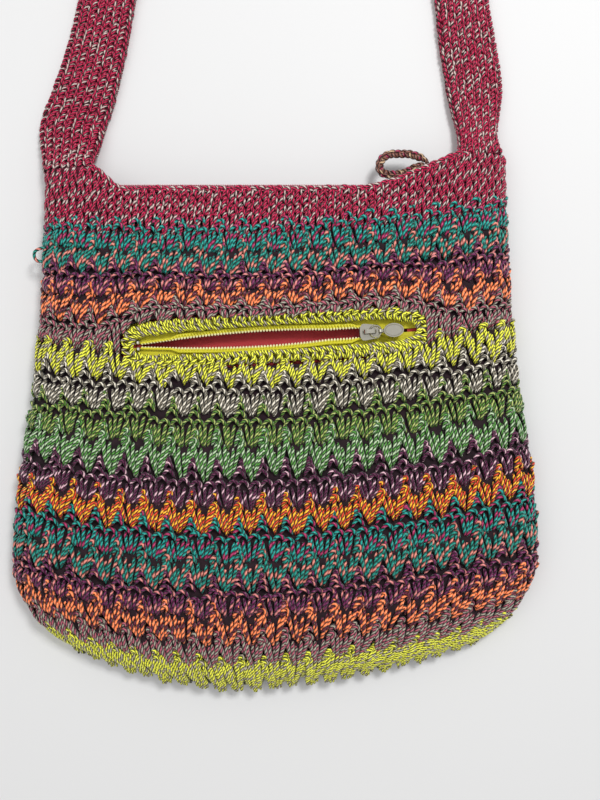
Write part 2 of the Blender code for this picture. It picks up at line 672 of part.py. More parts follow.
def pocket_zip():
    """Tapes, coils and stops of the pocket zip, in the pocket's own frame."""
    chain_z = TAPE_TOP_Z + GAP + COIL_THICKNESS / 2
    frame = pocket_frame()
    up = np.array([0.0, 0.0, 1.0])
    for name, side in (("upper", 1), ("lower", -1)):
        x, zigzag = teeth_places(POCKET_CHAIN_START, POCKET_CHAIN_END, TOOTH_PITCH)
        across = np.array([0.0, float(side), 0.0])
        edge = pocket_gap(x) + side * zigzag * TOOTH_DEPTH / 2 + 0.6 * GAP
        back = pocket_gap(x) + COIL_WIDTH
        centres = np.column_stack([x, np.zeros_like(x), np.full_like(x, chain_z)])
        vertices, faces = bar(centres, across, up, edge, back, COIL_THICKNESS / 2)
        add_piece(f"pocket_zip_{name}_coil", vertices, outwards(vertices, faces), [material("zip_yellow", 0.45)],
                  smooth=math.radians(20), place=frame)
        x = np.linspace(-POCKET_TAPE_END, POCKET_TAPE_END, 27)
        centres = np.column_stack([x, np.zeros_like(x), np.full_like(x, TAPE_TOP_Z - TAPE_THICKNESS / 2)])
        vertices, faces = bar(centres, across, up, pocket_gap(x) + COIL_WIDTH * 0.45, TAPE_HALF_WIDTH, TAPE_THICKNESS / 2)
        add_piece(f"pocket_zip_{name}_tape", vertices, outwards(vertices, faces), [material("zip_yellow", 0.45)], place=frame)
        stop = crimped_stop(0.0016, COIL_WIDTH, COIL_THICKNESS + 0.0004)
        stop_y = side * (0.6 * GAP + TOOTH_DEPTH / 2 + COIL_WIDTH / 2)
        put(f"pocket_zip_{name}_stop", stop, frame @ Matrix.Translation(
            (POCKET_CHAIN_START - 0.0014, stop_y, TAPE_TOP_Z + GAP + COIL_THICKNESS / 2 + 0.0002)))
    end_stop = crimped_stop(0.0018, 2 * COIL_WIDTH, COIL_THICKNESS + 0.0004)
    put("pocket_zip_end_stop", end_stop, frame @ Matrix.Translation(
        (POCKET_CHAIN_END + 0.0013, 0, TAPE_TOP_Z + GAP + COIL_THICKNESS / 2 + 0.0002)))


def crimped_stop(length, width, height):
    """A small block with rounded edges, as a stop is when it is crimped on the tape."""
    bm = bmesh.new()
    bmesh.ops.create_cube(bm, size=1)
    bmesh.ops.scale(bm, vec=(length, width, height), verts=bm.verts)
    bmesh.ops.bevel(bm, geom=bm.edges[:], offset=0.25 * length, segments=1, affect="EDGES")
    mesh = bpy.data.meshes.new("crimped_stop")
    bm.to_mesh(mesh)
    bm.free()
    mesh.materials.append(metal())
    return mesh


def put(name, mesh, place):
    piece = bpy.data.objects.new(name, mesh)
    bpy.context.scene.collection.objects.link(piece)
    piece.matrix_world = place
    return piece


def extruded(outline, low, high):
    flat = np.array(outline)
    vertices, faces = loft([np.column_stack([flat, np.full(len(flat), z)]) for z in (low, high)])
    return vertices, outwards(vertices, faces)


def slider_outline(grow=0.0):
    """Plan of a slider's plate: two rounded shoulders at the nose, and a narrower rounded tail."""
    nose = -SLIDER_HALF_LENGTH
    tail = SLIDER_HALF_LENGTH
    wide = SLIDER_NOSE_HALF_WIDTH + grow
    slim = SLIDER_TAIL_HALF_WIDTH + grow
    upper = [(nose, 0.35 * wide), (nose + 0.0003, 0.7 * wide), (nose + 0.0012, 0.95 * wide), (nose + 0.0024, wide),
             (0.1 * tail, 0.5 * (wide + slim)), (0.75 * tail, slim), (0.95 * tail, 0.8 * slim), (tail, 0.4 * slim)]
    return upper[::-1] + [(x, -y) for x, y in upper]


def slider_mesh():
    """The slider's body in one casting: two plates joined by the diamond at the nose, side flanges, and the bail."""
    top_low = COIL_THICKNESS / 2 + GAP
    top_high = top_low + SLIDER_PLATE
    bottom_high = -COIL_THICKNESS / 2 - 2 * GAP - TAPE_THICKNESS
    bottom_low = bottom_high - SLIDER_PLATE
    vertices, faces = extruded(slider_outline(), top_low, top_high)
    body = add_piece("cutter_slider_body", vertices, faces, [metal()])
    parts = [extruded(slider_outline(), bottom_low, bottom_high)]
    nose = -SLIDER_HALF_LENGTH
    diamond = [(nose + 0.0002, -0.4 * DIAMOND_HALF_WIDTH), (nose + 0.25 * DIAMOND_LENGTH, -DIAMOND_HALF_WIDTH),
               (nose + DIAMOND_LENGTH, 0), (nose + 0.25 * DIAMOND_LENGTH, DIAMOND_HALF_WIDTH),
               (nose + 0.0002, 0.4 * DIAMOND_HALF_WIDTH)]
    parts.append(extruded(diamond, bottom_high - 0.0004, top_low + 0.0004))
    tail = SLIDER_HALF_LENGTH
    for side in (1, -1):
        flange = [(nose + 0.0022, side * (SLIDER_NOSE_HALF_WIDTH - 0.0001)),
                  (0.70 * tail, side * (SLIDER_TAIL_HALF_WIDTH - 0.0001)),
                  (0.70 * tail, side * (SLIDER_TAIL_HALF_WIDTH - SLIDER_FLANGE)),
                  (nose + 0.0022, side * (SLIDER_NOSE_HALF_WIDTH - SLIDER_FLANGE))]
        parts.append(extruded(flange, -COIL_THICKNESS / 2, top_low + 0.0004))
    half = BAIL_LENGTH / 2
    turn = np.linspace(0, math.pi, 9)
    flat = 0.55
    outer = [(BAIL_OFFSET + half * np.sign(math.cos(t)) * abs(math.cos(t)) ** flat,
              top_high + BAIL_HEIGHT * math.sin(t) ** flat) for t in turn]
    inner = [(BAIL_OFFSET + (half - BAIL_WIRE) * np.sign(math.cos(t)) * abs(math.cos(t)) ** flat,
              top_high + (BAIL_HEIGHT - BAIL_WIRE) * math.sin(t) ** flat) for t in turn]
    sink = top_high - 0.0004
    profile = [(outer[0][0], sink)] + outer + [(outer[-1][0], sink), (inner[-1][0], sink)] + inner[::-1]
    profile.append((inner[0][0], sink))
    sections = [[(x, side * BAIL_WIDTH / 2, z) for x, z in profile] for side in (-1, 1)]
    vertices, faces = loft(sections)
    parts.append((vertices, outwards(vertices, faces)))
    for i, (vertices, faces) in enumerate(parts):
        cut(body, add_piece(f"cutter_slider_part_{i}", vertices, faces, []), "UNION")
    bpy.context.view_layer.update()
    evaluated = body.evaluated_get(bpy.context.evaluated_depsgraph_get())
    mesh = bpy.data.meshes.new_from_object(evaluated)
    mesh.materials.clear()
    mesh.materials.append(metal())
    for name in [body.name] + [f"cutter_slider_part_{i}" for i in range(len(parts))]:
        bpy.data.objects.remove(bpy.data.objects[name], do_unlink=True)
    return mesh


def bail_top():
    """Height of the wire's middle inside the bail, above the slider's middle."""
    plate_top = COIL_THICKNESS / 2 + GAP + SLIDER_PLATE
    return plate_top + BAIL_HEIGHT - BAIL_WIRE - RING_WIRE - GAP


def ring_mesh():
    """A wire ring: a round section carried round a circle, with its origin on the wire in the bail."""
    turn = np.linspace(0, 2 * math.pi, 18, endpoint=False)
    around = np.linspace(0, 2 * math.pi, 6, endpoint=False)
    sections = [[(RING_RADIUS + (RING_RADIUS + RING_WIRE * math.cos(a)) * math.cos(t),
                  (RING_RADIUS + RING_WIRE * math.cos(a)) * math.sin(t), RING_WIRE * math.sin(a)) for a in around]
                for t in turn]
    vertices, faces = loft(sections, ring=True)
    return vertices, outwards(vertices, faces)


def pull_tab():
    """The oval pull: a dished plate inside a rim, with a rolled eye that the ring's wire runs through."""
    centre = (EYE_HOLE + EYE_OUTER) / 2 + PULL_LENGTH / 2
    turn = np.linspace(0, 2 * math.pi, 22, endpoint=False)

    def oval(length, width, z):
        return [(centre + length / 2 * math.cos(t), width / 2 * math.sin(t), z) for t in turn]
    half = PULL_THICKNESS / 2
    soft = 0.0003
    sections = [oval(PULL_LENGTH - 2 * PULL_RIM, PULL_WIDTH - 2 * PULL_RIM, PULL_DISH - half),
                oval(PULL_LENGTH - 1.4 * PULL_RIM, PULL_WIDTH - 1.4 * PULL_RIM, -half),
                oval(PULL_LENGTH - soft, PULL_WIDTH - soft, -half),
                oval(PULL_LENGTH, PULL_WIDTH, 0),
                oval(PULL_LENGTH - soft, PULL_WIDTH - soft, half),
                oval(PULL_LENGTH - 1.4 * PULL_RIM, PULL_WIDTH - 1.4 * PULL_RIM, half),
                oval(PULL_LENGTH - 2 * PULL_RIM, PULL_WIDTH - 2 * PULL_RIM, half - PULL_DISH)]
    vertices, faces = loft(sections)
    place = pocket_frame() @ Matrix.Translation(
        (POCKET_SLIDER_X + BAIL_OFFSET + 2 * RING_RADIUS, 0, TAPE_TOP_Z + GAP + COIL_THICKNESS / 2 + bail_top()))
    tab = add_piece("pocket_zip_pull", vertices, outwards(vertices, faces), [metal()], place=place)
    around = np.linspace(0, 2 * math.pi, 14, endpoint=False)
    eye = [[(radius * math.cos(a), side * EYE_WIDTH / 2, radius * math.sin(a)) for side, radius in
            ((-1, EYE_HOLE), (-1, EYE_OUTER), (1, EYE_OUTER), (1, EYE_HOLE))] for a in around]
    vertices, faces = loft(eye, ring=True)
    cut(tab, add_piece("cutter_pull_eye", vertices, outwards(vertices, faces), [], place=place), "UNION")
    return tab


def pocket_slider(mesh):
    chain = TAPE_TOP_Z + GAP + COIL_THICKNESS / 2
    put("pocket_zip_slider", mesh, pocket_frame(chain) @ Matrix.Translation((POCKET_SLIDER_X, 0, 0)))
    vertices, faces = ring_mesh()
    add_piece("pocket_zip_ring", vertices, faces, [metal()], place=pocket_frame(chain) @ Matrix.Translation(
        (POCKET_SLIDER_X + BAIL_OFFSET, 0, bail_top())))
    pull_tab()


def mouth_middle():
    """Z midway between the mouth's back wall and its front wall."""
    return hollow_middle(RIM_Y)


def top_spread(x):
    """How far from the mouth's middle the teeth lie, against the walls, which close towards the mouth's ends."""
    share, bulge = hollow_section(MOUTH_SQUARENESS)
    room = (thickness(RIM_Y) - WALL - hollow_middle(RIM_Y)) * np.interp(np.abs(x) / MOUTH_HALF_WIDTH, share, bulge)
    return room - GAP - TOP_COIL_THICKNESS / 2


def top_zip():
    """Tapes, coils and stops of the top zip.

    Where the zip is open its tapes stand against the walls with their teeth up, and at the slider they turn
    inwards until the teeth face each other.
    """
    nose = TOP_SLIDER_X - SLIDER_HALF_LENGTH
    tape_top = TOP_CHAIN_Y - TOP_COIL_THICKNESS / 2 - GAP
    for name, side in (("front", 1), ("back", -1)):
        x, zigzag = teeth_places(-TOP_CHAIN_HALF_LENGTH, TOP_CHAIN_HALF_LENGTH, TOP_TOOTH_PITCH)
        turned = ease(nose - TOP_CONVERGE, nose - 0.002, x)
        quarter = turned * math.pi / 2
        head = np.stack([np.zeros_like(x), np.cos(quarter), -side * np.sin(quarter)], axis=1)
        upright = np.stack([np.zeros_like(x), np.sin(quarter), side * np.cos(quarter)], axis=1)
        throat = (DIAMOND_HALF_WIDTH + GAP) * (1 - ease(nose, TOP_SLIDER_X, x))
        spread = top_spread(x)
        root_z = mouth_middle() + side * (spread + turned * (throat + TOP_COIL_WIDTH - spread))
        root_y = tape_top + GAP + turned * TOP_COIL_THICKNESS / 2
        centres = np.column_stack([x, root_y, root_z])
        reach = TOP_COIL_WIDTH - TOOTH_DEPTH / 2 - 0.6 * GAP - side * zigzag * TOOTH_DEPTH / 2
        vertices, faces = bar(centres, head, upright, 0.0, reach, TOP_COIL_THICKNESS / 2)
        add_piece(f"top_zip_{name}_coil", vertices, outwards(vertices, faces), [material("zip_crimson", 0.5)],
                  smooth=math.radians(20))
        top_tape(name, side, tape_top, nose)
        stop_x = -TOP_CHAIN_HALF_LENGTH - 0.0014
        stop = crimped_stop(0.0016, TOP_COIL_THICKNESS + 0.0002, TOP_COIL_WIDTH)
        put(f"top_zip_{name}_stop", stop, Matrix.Translation(
            (stop_x, tape_top + GAP + TOP_COIL_WIDTH / 2, mouth_middle() + side * top_spread(stop_x - 0.0008))) @
            Matrix.Rotation(math.pi / 2, 4, "X"))
    end_stop = crimped_stop(0.0016, TOP_COIL_THICKNESS + 0.0004, 2 * TOP_COIL_WIDTH)
    put("top_zip_end_stop", end_stop, Matrix.Translation(
        (TOP_CHAIN_HALF_LENGTH + 0.0012, TOP_CHAIN_Y + 0.0002, mouth_middle())))


def top_tape(name, side, tape_top, nose):
    """One tape of the top zip: it stands against the wall, and at the slider its edge folds in to the teeth."""
    x = np.concatenate([np.linspace(TAPE_END_GAP - MOUTH_HALF_WIDTH, nose - TOP_CONVERGE, 10)[:-1],
                        np.linspace(nose - TOP_CONVERGE, MOUTH_HALF_WIDTH - TAPE_END_GAP, 12)])
    turned = ease(nose - TOP_CONVERGE, nose - 0.002, x)
    middle = mouth_middle()
    half = TAPE_THICKNESS / 2
    tape_y = tape_top - half
    foot_y = TOP_CHAIN_Y - TOP_TAPE_DEPTH
    spread = top_spread(x)
    edge = np.minimum(spread, spread + turned * (DIAMOND_HALF_WIDTH + GAP + 0.4 * TOP_COIL_WIDTH - spread))
    knee_y = tape_y - (1 - turned) * 0.004
    sections = []
    for i in range(len(x)):
        wall_z = middle + side * spread[i]
        edge_z = middle + side * edge[i]
        flat = turned[i]
        points = [(foot_y, wall_z - side * half), (knee_y[i] - half * flat, wall_z - side * half),
                  (tape_y - half * flat + half * (1 - flat), edge_z - side * half * (1 - flat)),
                  (tape_y + half, edge_z + side * half * (1 - flat)),
                  (knee_y[i] + half * flat, wall_z + side * half), (foot_y, wall_z + side * half)]
        sections.append([(x[i], py, pz) for py, pz in points])
    vertices, faces = loft(sections)
    add_piece(f"top_zip_{name}_tape", vertices, outwards(vertices, faces), [material("zip_crimson")])


def top_slider_place():
    """Frame of the top slider: its plates face up the bag."""
    turn = Matrix(((1, 0, 0), (0, 0, 1), (0, -1, 0))).to_4x4()
    return Matrix.Translation((TOP_SLIDER_X, TOP_CHAIN_Y, mouth_middle())) @ turn


def top_pull(mesh):
    """Top slider, its pull tab, whose end bar runs through the bail, and the braided cord loop at the tab's end."""
    put("top_zip_slider", mesh, top_slider_place())
    pivot = Vector((TOP_SLIDER_X + BAIL_OFFSET, TOP_CHAIN_Y + bail_top(), mouth_middle()))
    place = Matrix.Translation(pivot) @ Matrix.Rotation(TOP_TAB_ANGLE, 4, "Z") @ Matrix.Rotation(math.pi / 2, 4, "X")
    half = TOP_TAB_WIDTH / 2
    window = BAIL_WIDTH / 2 + 1.3 * GAP
    neck = window + 2 * RING_WIRE
    upper = [(-RING_WIRE, neck), (BAIL_WIRE + 4 * RING_WIRE, neck), (0.6 * TOP_TAB_LENGTH, half),
             (0.9 * TOP_TAB_LENGTH, half), (TOP_TAB_LENGTH, 0.7 * half)]
    vertices, faces = extruded([(x, -y) for x, y in upper] + upper[::-1], -RING_WIRE, RING_WIRE)
    tab = add_piece("top_zip_pull", vertices, faces, [metal()], place=place)
    opening = ((RING_WIRE, -window), (BAIL_WIRE + 3 * RING_WIRE, -window), (BAIL_WIRE + 3 * RING_WIRE, window),
               (RING_WIRE, window))
    vertices, faces = extruded(opening, -4 * RING_WIRE, 4 * RING_WIRE)
    cut(tab, add_piece("cutter_top_pull_window", vertices, faces, [], place=place))
    cord_loop(pivot)


def cord_loop(pivot):
    """Braided cord from the tab's end, round to the left and back to the tab."""
    end = pivot + Matrix.Rotation(TOP_TAB_ANGLE, 3, "Z") @ Vector((TOP_TAB_LENGTH + GAP, 0, 0))
    along = Matrix.Rotation(TOP_TAB_ANGLE, 3, "Z") @ Vector((1, 0, 0))
    across = Vector((-along.y, along.x, 0))
    route = [Vector((x, y, z)) for x, y, z in CORD_LOOP]
    anchors = [end + across * side * CORD_KNOT_RADIUS * 1.4 for side in (-1, 1)]
    steps = [anchors[0] + (CORD_RADIUS - 0.0005) * along]
    points = np.array([anchors[0], steps[0]] + [end + offset for offset in route] + [
        anchors[1] + (CORD_RADIUS - 0.0005) * along * 0.6, anchors[1]])
    places = np.concatenate([[0], np.cumsum(np.linalg.norm(np.diff(points, axis=0), axis=1))])
    at = np.linspace(0, places[-1], 34)
    centres = np.stack([shaped(points[:, i], places, at) for i in range(3)], axis=1)
    forward = np.gradient(centres, axis=0)
    forward /= np.linalg.norm(forward, axis=1)[:, None]
    forward[0] = along
    forward[-1] = -along
    up = np.array([0.0, 0.0, 1.0])
    side = np.cross(up, forward)
    side /= np.linalg.norm(side, axis=1)[:, None]
    from_end = np.minimum(at, places[-1] - at)
    radius = CORD_KNOT_RADIUS + (CORD_RADIUS - CORD_KNOT_RADIUS) * ease(0.001, 0.006, from_end)
    around = np.linspace(0, 2 * math.pi, 8, endpoint=False)
    sections = (centres[:, None, :] + radius[:, None, None] * (
        np.cos(around)[None, :, None] * side[:, None, :] + np.sin(around)[None, :, None] * up))
    vertices, faces = loft(sections)
    add_piece("top_zip_cord_loop", vertices, outwards(vertices, faces), [material("braid_brown")],
              place=Matrix.Identity(4))


def main():
    for each in list(bpy.data.objects):
        bpy.data.objects.remove(each, do_unlink=True)
    crochet_body()
    pocket_edging()
    strap()
    main_lining()
    pocket_lining()
    pocket_zip()
    slider = slider_mesh()
    pocket_slider(slider)
    top_zip()
    top_pull(slider)
    bpy.context.view_layer.update()


main()
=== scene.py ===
"""Looks of the crocheted shoulder bag: real yarn stitches row by row, zips, linings, braid and metal.

Lengths are in metres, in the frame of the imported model: +X to the right of the front, +Y up the bag towards
the strap, +Z out of the front.
"""
import math

import bmesh
import bpy
import numpy as np
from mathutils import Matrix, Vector


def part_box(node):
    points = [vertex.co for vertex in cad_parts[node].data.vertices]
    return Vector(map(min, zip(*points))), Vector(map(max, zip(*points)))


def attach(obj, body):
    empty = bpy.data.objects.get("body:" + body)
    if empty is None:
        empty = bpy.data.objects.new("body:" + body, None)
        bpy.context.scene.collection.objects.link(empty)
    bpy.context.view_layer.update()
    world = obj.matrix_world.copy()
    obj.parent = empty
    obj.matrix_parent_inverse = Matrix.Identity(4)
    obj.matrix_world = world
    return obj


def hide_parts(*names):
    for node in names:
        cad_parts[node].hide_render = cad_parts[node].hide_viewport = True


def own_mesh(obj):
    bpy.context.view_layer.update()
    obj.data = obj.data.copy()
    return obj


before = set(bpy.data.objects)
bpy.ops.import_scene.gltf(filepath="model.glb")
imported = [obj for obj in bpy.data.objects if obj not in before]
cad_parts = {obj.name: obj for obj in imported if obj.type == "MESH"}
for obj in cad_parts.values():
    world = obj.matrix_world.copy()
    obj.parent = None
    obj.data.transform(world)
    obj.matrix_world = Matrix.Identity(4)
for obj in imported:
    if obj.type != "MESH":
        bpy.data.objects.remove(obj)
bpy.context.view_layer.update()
MM = 0.001

# Shape of the shell. A rise lifts the mouth's edge towards a root of the strap, from its start outwards.
RIM_Y = 0.129  # the mouth's edge in its middle
BODY_HEIGHT = 0.261
BODY_HALF_WIDTH = 0.1375
BODY_THICKNESS = 0.026
SIDE_LIFT = 0.025  # most by which a row lies higher at its ends than where it sags
SEAM_SHARE = 0.36  # height of the side edges as a share of the thickness
FRONT_SQUARENESS = 5
BACK_SQUARENESS = 6
BACK_PRESS = 0.0005  # how far the back is pressed flat against the table
SAG_CENTRE = -0.2  # where a row sags lowest, as a share of the half width
SAG_POWER = 1.7
LEFT_RISE = 0.012
LEFT_RISE_START = 0.078
RIGHT_RISE = 0.019
RIGHT_RISE_START = 0.045
RIGHT_RISE_POWER = 1.3
ROOT_INNER_X = 0.096
CRIMSON_BAND = 0.017
# Share of the way down, then the shares of half width, left lift, right lift and thickness there
OUTLINE = np.array((
    (0.000, 0.880, 0.00, 0.00, 0.85),
    (0.065, 0.882, 0.12, 0.56, 0.88),
    (0.149, 0.885, 0.20, 0.60, 0.95),
    (0.207, 0.888, 0.24, 0.62, 1.00),
    (0.264, 0.893, 0.28, 0.64, 1.00),
    (0.379, 0.912, 0.36, 0.68, 1.00),
    (0.494, 0.938, 0.40, 0.72, 1.00),
    (0.609, 0.973, 0.46, 0.76, 1.00),
    (0.724, 0.993, 0.54, 0.80, 0.98),
    (0.820, 1.000, 0.64, 0.84, 0.93),
    (0.897, 0.955, 0.72, 0.90, 0.81),
    (0.954, 0.890, 0.80, 0.94, 0.62),
    (1.000, 0.800, 0.86, 1.00, 0.35),
))

# Rows from the mouth down: yarn, stitch, height, and how far the pocket pushes the row's lower edge up
ROWS = (
    *(("crimson", "band", 0.00425, 0.0),) * 4,
    ("teal_crimson", "single", 0.0158, 0.0),
    ("teal_salmon", "vee", 0.0113, 0.0),
    ("plum_salmon", "single", 0.0149, 0.0060),
    ("coral_plum", "vee", 0.0130, 0.0110),
    ("grey_rose", "single", 0.0120, 0.0162),
    ("grey_rose", "pocket", 0.0008, -0.0060),
    ("yellow_taupe", "vee", 0.0157, 0.0010),
    ("taupe_cream", "single", 0.0150, 0.0),
    ("olive_cream", "single", 0.0165, 0.0),
    ("green_sage", "vee", 0.0150, 0.0),
    ("plum_white", "single", 0.0170, 0.0),
    ("gold_orange", "vee", 0.0110, 0.0),
    ("teal_crimson", "single", 0.0165, 0.0),
    ("teal_salmon", "vee", 0.0135, 0.0),
    ("plum_salmon", "single", 0.0150, 0.0),
    ("coral_plum", "vee", 0.0140, 0.0),
    ("grey_rose", "vee", 0.0130, 0.0),
    ("yellow_taupe", "vee", 0.0140, 0.0),
)
POCKET_PUSH_INNER = 0.055
POCKET_PUSH_OUTER = 0.098

# Pocket opening
POCKET_Y = 0.051
POCKET_TILT = math.radians(3.4)
SLOT_HALF_LENGTH = 0.0725
SLOT_HALF_HEIGHT = 0.0065
SLOT_SQUARENESS = 4
EDGING_WIDTH = 0.0065
EDGING_GAP = 0.2 * MM  # between the opening and the edging
EDGING_SHOULDER = 0.35  # height of its sides as a share of its crown

# Zips: where the chains, sliders and open teeth lie, and the filaments that their coils are wound from
POCKET_SLIDER_X = 0.049
POCKET_SLIDER_THROAT = 0.00104
POCKET_NOSE = 0.0438
POCKET_CHAIN_START = -0.0690
POCKET_CHAIN_END = 0.0630
POCKET_COIL_Z = 0.0220
POCKET_OPEN_HALF = 0.0031
POCKET_CLOSED_HALF = 0.0018
POCKET_COIL_HALF_WIDTH = 1.35 * MM
POCKET_COIL_HALF_HEIGHT = 0.38 * MM
POCKET_COIL_NARROWING = 0.85 * MM  # inside the slider, and where it stops at the far end
POCKET_FILAMENT = 0.85 * MM
POCKET_TURNS = 84
MOUTH_HALF_WIDTH = 0.0945
MOUTH_MIDDLE = 0.0109
MOUTH_ROOM = 0.0065  # from its middle to its walls
MOUTH_SQUARENESS = 20
TOP_CHAIN_Y = 0.1305
TOP_CHAIN_HALF_LENGTH = 0.0895
TOP_SLIDER_X = 0.0835
TOP_NOSE = TOP_SLIDER_X - 5.2 * MM
TOP_COIL_HALF_WIDTH = 0.55 * MM
TOP_COIL_HALF_HEIGHT = 0.22 * MM
TOP_FILAMENT = 0.58 * MM
TOP_TURNS = 153

# Cord loop on the top slider: the tab that holds it, the braid, and points from the tab's end round and back
TOP_TAB_ANGLE = math.radians(118)
TOP_TAB_HINGE = (TOP_SLIDER_X - 0.3 * MM, TOP_CHAIN_Y + 4.95 * MM, MOUTH_MIDDLE)
TOP_TAB_LENGTH = 8.8 * MM
CORD_END_SPREAD = 1.26 * MM
BRAID_LENGTH = 9.0 * MM
BRAID_SWING = 1.25 * MM
BRAID_RISE = 0.50 * MM
BRAID_STRAND = 1.10 * MM
CORD_LOOP = (
    (-0.0034, 0.0040, 0.0),
    (-0.0100, 0.0056, 0.0),
    (-0.0170, 0.0056, 0.0),
    (-0.0226, 0.0032, 0.0),
    (-0.0242, -0.0012, 0.0),
    (-0.0222, -0.0046, 0.0),
    (-0.0170, -0.0054, 0.0),
    (-0.0114, -0.0046, 0.0),
    (-0.0060, -0.0020, 0.0),
)

# Loop of yarn that hangs out at the left edge, in millimetres
LOOSE_LOOP = ((-118.5, 99.0, 11), (-122.5, 99.0, 12), (-126.2, 97.4, 12), (-126.8, 94.6, 12),
              (-125.2, 92.2, 12), (-121.5, 92.0, 12), (-118.5, 93.0, 11))
LOOSE_YARN_RADIUS = 0.85 * MM

# Stitches
COLUMNS = 46  # V stitches in a round, front and back
BAND_COLUMNS = 120  # single crochet in a round of the band at the mouth
YARN = 2.15 * MM
THIN_YARN = 1.9 * MM
SINGLE_YARN = THIN_YARN * 1.05
PLY_PITCH = 7.4 * MM  # length in which the plies turn once round each other
TABLE_CLEARANCE = 0.15 * MM
STITCH_SPREAD = (0.022, 0.040, 0.12)  # how far whole stitches stray, across, down and outwards
STRAND_SPREAD = (0.028, 0.036, 0.20)  # how far each strand strays besides
YARN_SPREAD = 0.06
STRAND_SINK = 0.45  # depth of a strand's middle line under the surface, in yarn diameters
END_TAPER = 0.45
BAND_DROP = 0.62  # rows of the band by which its stitches hang below the mouth's edge
RIM_CHAIN_ROW = 0.18  # the same for the chain on the mouth's edge
STRAP_SPREAD = (0.03, 0.06, 0.12)
STRAP_YARN_SPREAD = 0.05
STRAP_SINK = 0.3
STRAP_TAPER = np.array((0.7, 1, 1, 1, 0.7))

# Strap: its middle line with the width and thickness there
STRAP = np.array((
    (-0.1096, 0.1413, 0.0085, 0.0262, 0.0090),
    (-0.1100, 0.1460, 0.0072, 0.0266, 0.0075),
    (-0.1099, 0.1520, 0.0050, 0.0300, 0.0060),
    (-0.1090, 0.1640, 0.0032, 0.0345, 0.0050),
    (-0.1050, 0.1760, 0.0027, 0.0340, 0.0048),
    (-0.0976, 0.2000, 0.0026, 0.0320, 0.0048),
    (-0.0907, 0.2320, 0.0026, 0.0300, 0.0048),
    *((x, y, 0.0026, 0.0298, 0.0048) for x, y in (
        (-0.0845, 0.2700), (-0.0800, 0.3100), (-0.0755, 0.3500), (-0.0620, 0.3870), (-0.0340, 0.4150),
        (0.0050, 0.4250), (0.0440, 0.4150), (0.0720, 0.3870), (0.0860, 0.3500), (0.0920, 0.3100),
        (0.0960, 0.2700))),
    (0.0998, 0.2320, 0.0026, 0.0285, 0.0048),
    (0.1028, 0.2100, 0.0026, 0.0300, 0.0048),
    (0.1062, 0.1880, 0.0028, 0.0300, 0.0050),
    (0.1072, 0.1700, 0.0040, 0.0240, 0.0068),
    (0.1075, 0.1590, 0.0060, 0.0200, 0.0082),
    (0.1080, 0.1530, 0.0075, 0.0215, 0.0088),
    (0.1084, 0.1483, 0.0085, 0.0236, 0.0092),
))
STRAP_WALES = 14  # round the strap, half of them on its upper face
STRAP_STITCH = 3.0 * MM

# How far cloth, and the ground behind the stitches, lie inside the CAD faces
CROCHET_INSET = 1.3 * MM
STRAP_INSET = 1.0 * MM
TAPE_INSET = 0.12 * MM
WAVE_LENGTH = 0.314  # of a wave texture at scale 1

# Lights: name, place, side of the square, watts
LIGHTS = (
    ("key_light", (0.5, 0.8, 1.3), 0.4, 14),
    ("fill_light", (-0.8, 0.3, 1.4), 1.2, 4),
)
WORLD_STRENGTH = 0.58
TABLE_HALF_SIDE = 3.0
CAMERA_PLACE = (0.013, 0.019, 0.468)
CAMERA_LENS = 39

# Yarns: main colour, second colour, number of plies, and how many of them have the second colour
YARNS = {
    "crimson": (0xB81246, 0xC4ACA6, 4, 1),
    "teal_crimson": (0x109086, 0xA02458, 3, 1),
    "teal_salmon": (0x0E8072, 0xCE7C6E, 3, 1),
    "plum_salmon": (0x64184A, 0xCC7A78, 3, 1),
    "coral_plum": (0xFF8A54, 0x5A142A, 3, 1),
    "grey_rose": (0xA09A8A, 0xA85464, 4, 2),
    "yellow_taupe": (0xECEC44, 0xAEA48C, 4, 1),
    "taupe_cream": (0x7C7464, 0xE4DCCA, 4, 2),
    "olive_cream": (0x4E7A1E, 0xA6B462, 4, 2),
    "green_sage": (0x4C8A34, 0xB0C8A0, 4, 2),
    "plum_white": (0x56143E, 0xDCB0BC, 4, 1),
    "gold_orange": (0xFFB82C, 0xD4401A, 4, 2),
    "braid_brown": (0x7C4E40, 0xB89878, 4, 1),
    "braid_crimson": (0x962848, 0x6B4238, 4, 2),
}


def linear(value):
    """Turns an sRGB hex value into linear RGBA."""
    channels = [(value >> shift & 255) / 255 for shift in (16, 8, 0)]
    return (*[c / 12.92 if c <= 0.04045 else ((c + 0.055) / 1.055) ** 2.4 for c in channels], 1)


def plug(material, node, inputs):
    """Fills a node's sockets, each with a plain value, or a link from a socket or a node's first output."""
    for key, value in inputs.items():
        socket = next((s for s in node.inputs if s.enabled and s.name == key), None) or node.inputs[key]
        if isinstance(value, bpy.types.Node):
            value = next(s for s in value.outputs if s.enabled)
        if isinstance(value, bpy.types.NodeSocket):
            material.node_tree.links.new(value, socket)
        else:
            socket.default_value = value


def add(material, kind, inputs=(), **settings):
    """Adds a node to a material: 'settings' are its properties, 'inputs' what goes into its sockets."""
    node = material.node_tree.nodes.new("ShaderNode" + kind)
    for name, value in settings.items():
        setattr(node, name, value)
    plug(material, node, dict(inputs))
    return node


def new_material(name, inputs):
    """A Principled material with its own values in the shader's sockets."""
    material = bpy.data.materials.new(name)
    material.use_nodes = True
    shader = material.node_tree.nodes["Principled BSDF"]
    plug(material, shader, inputs)
    return material, shader


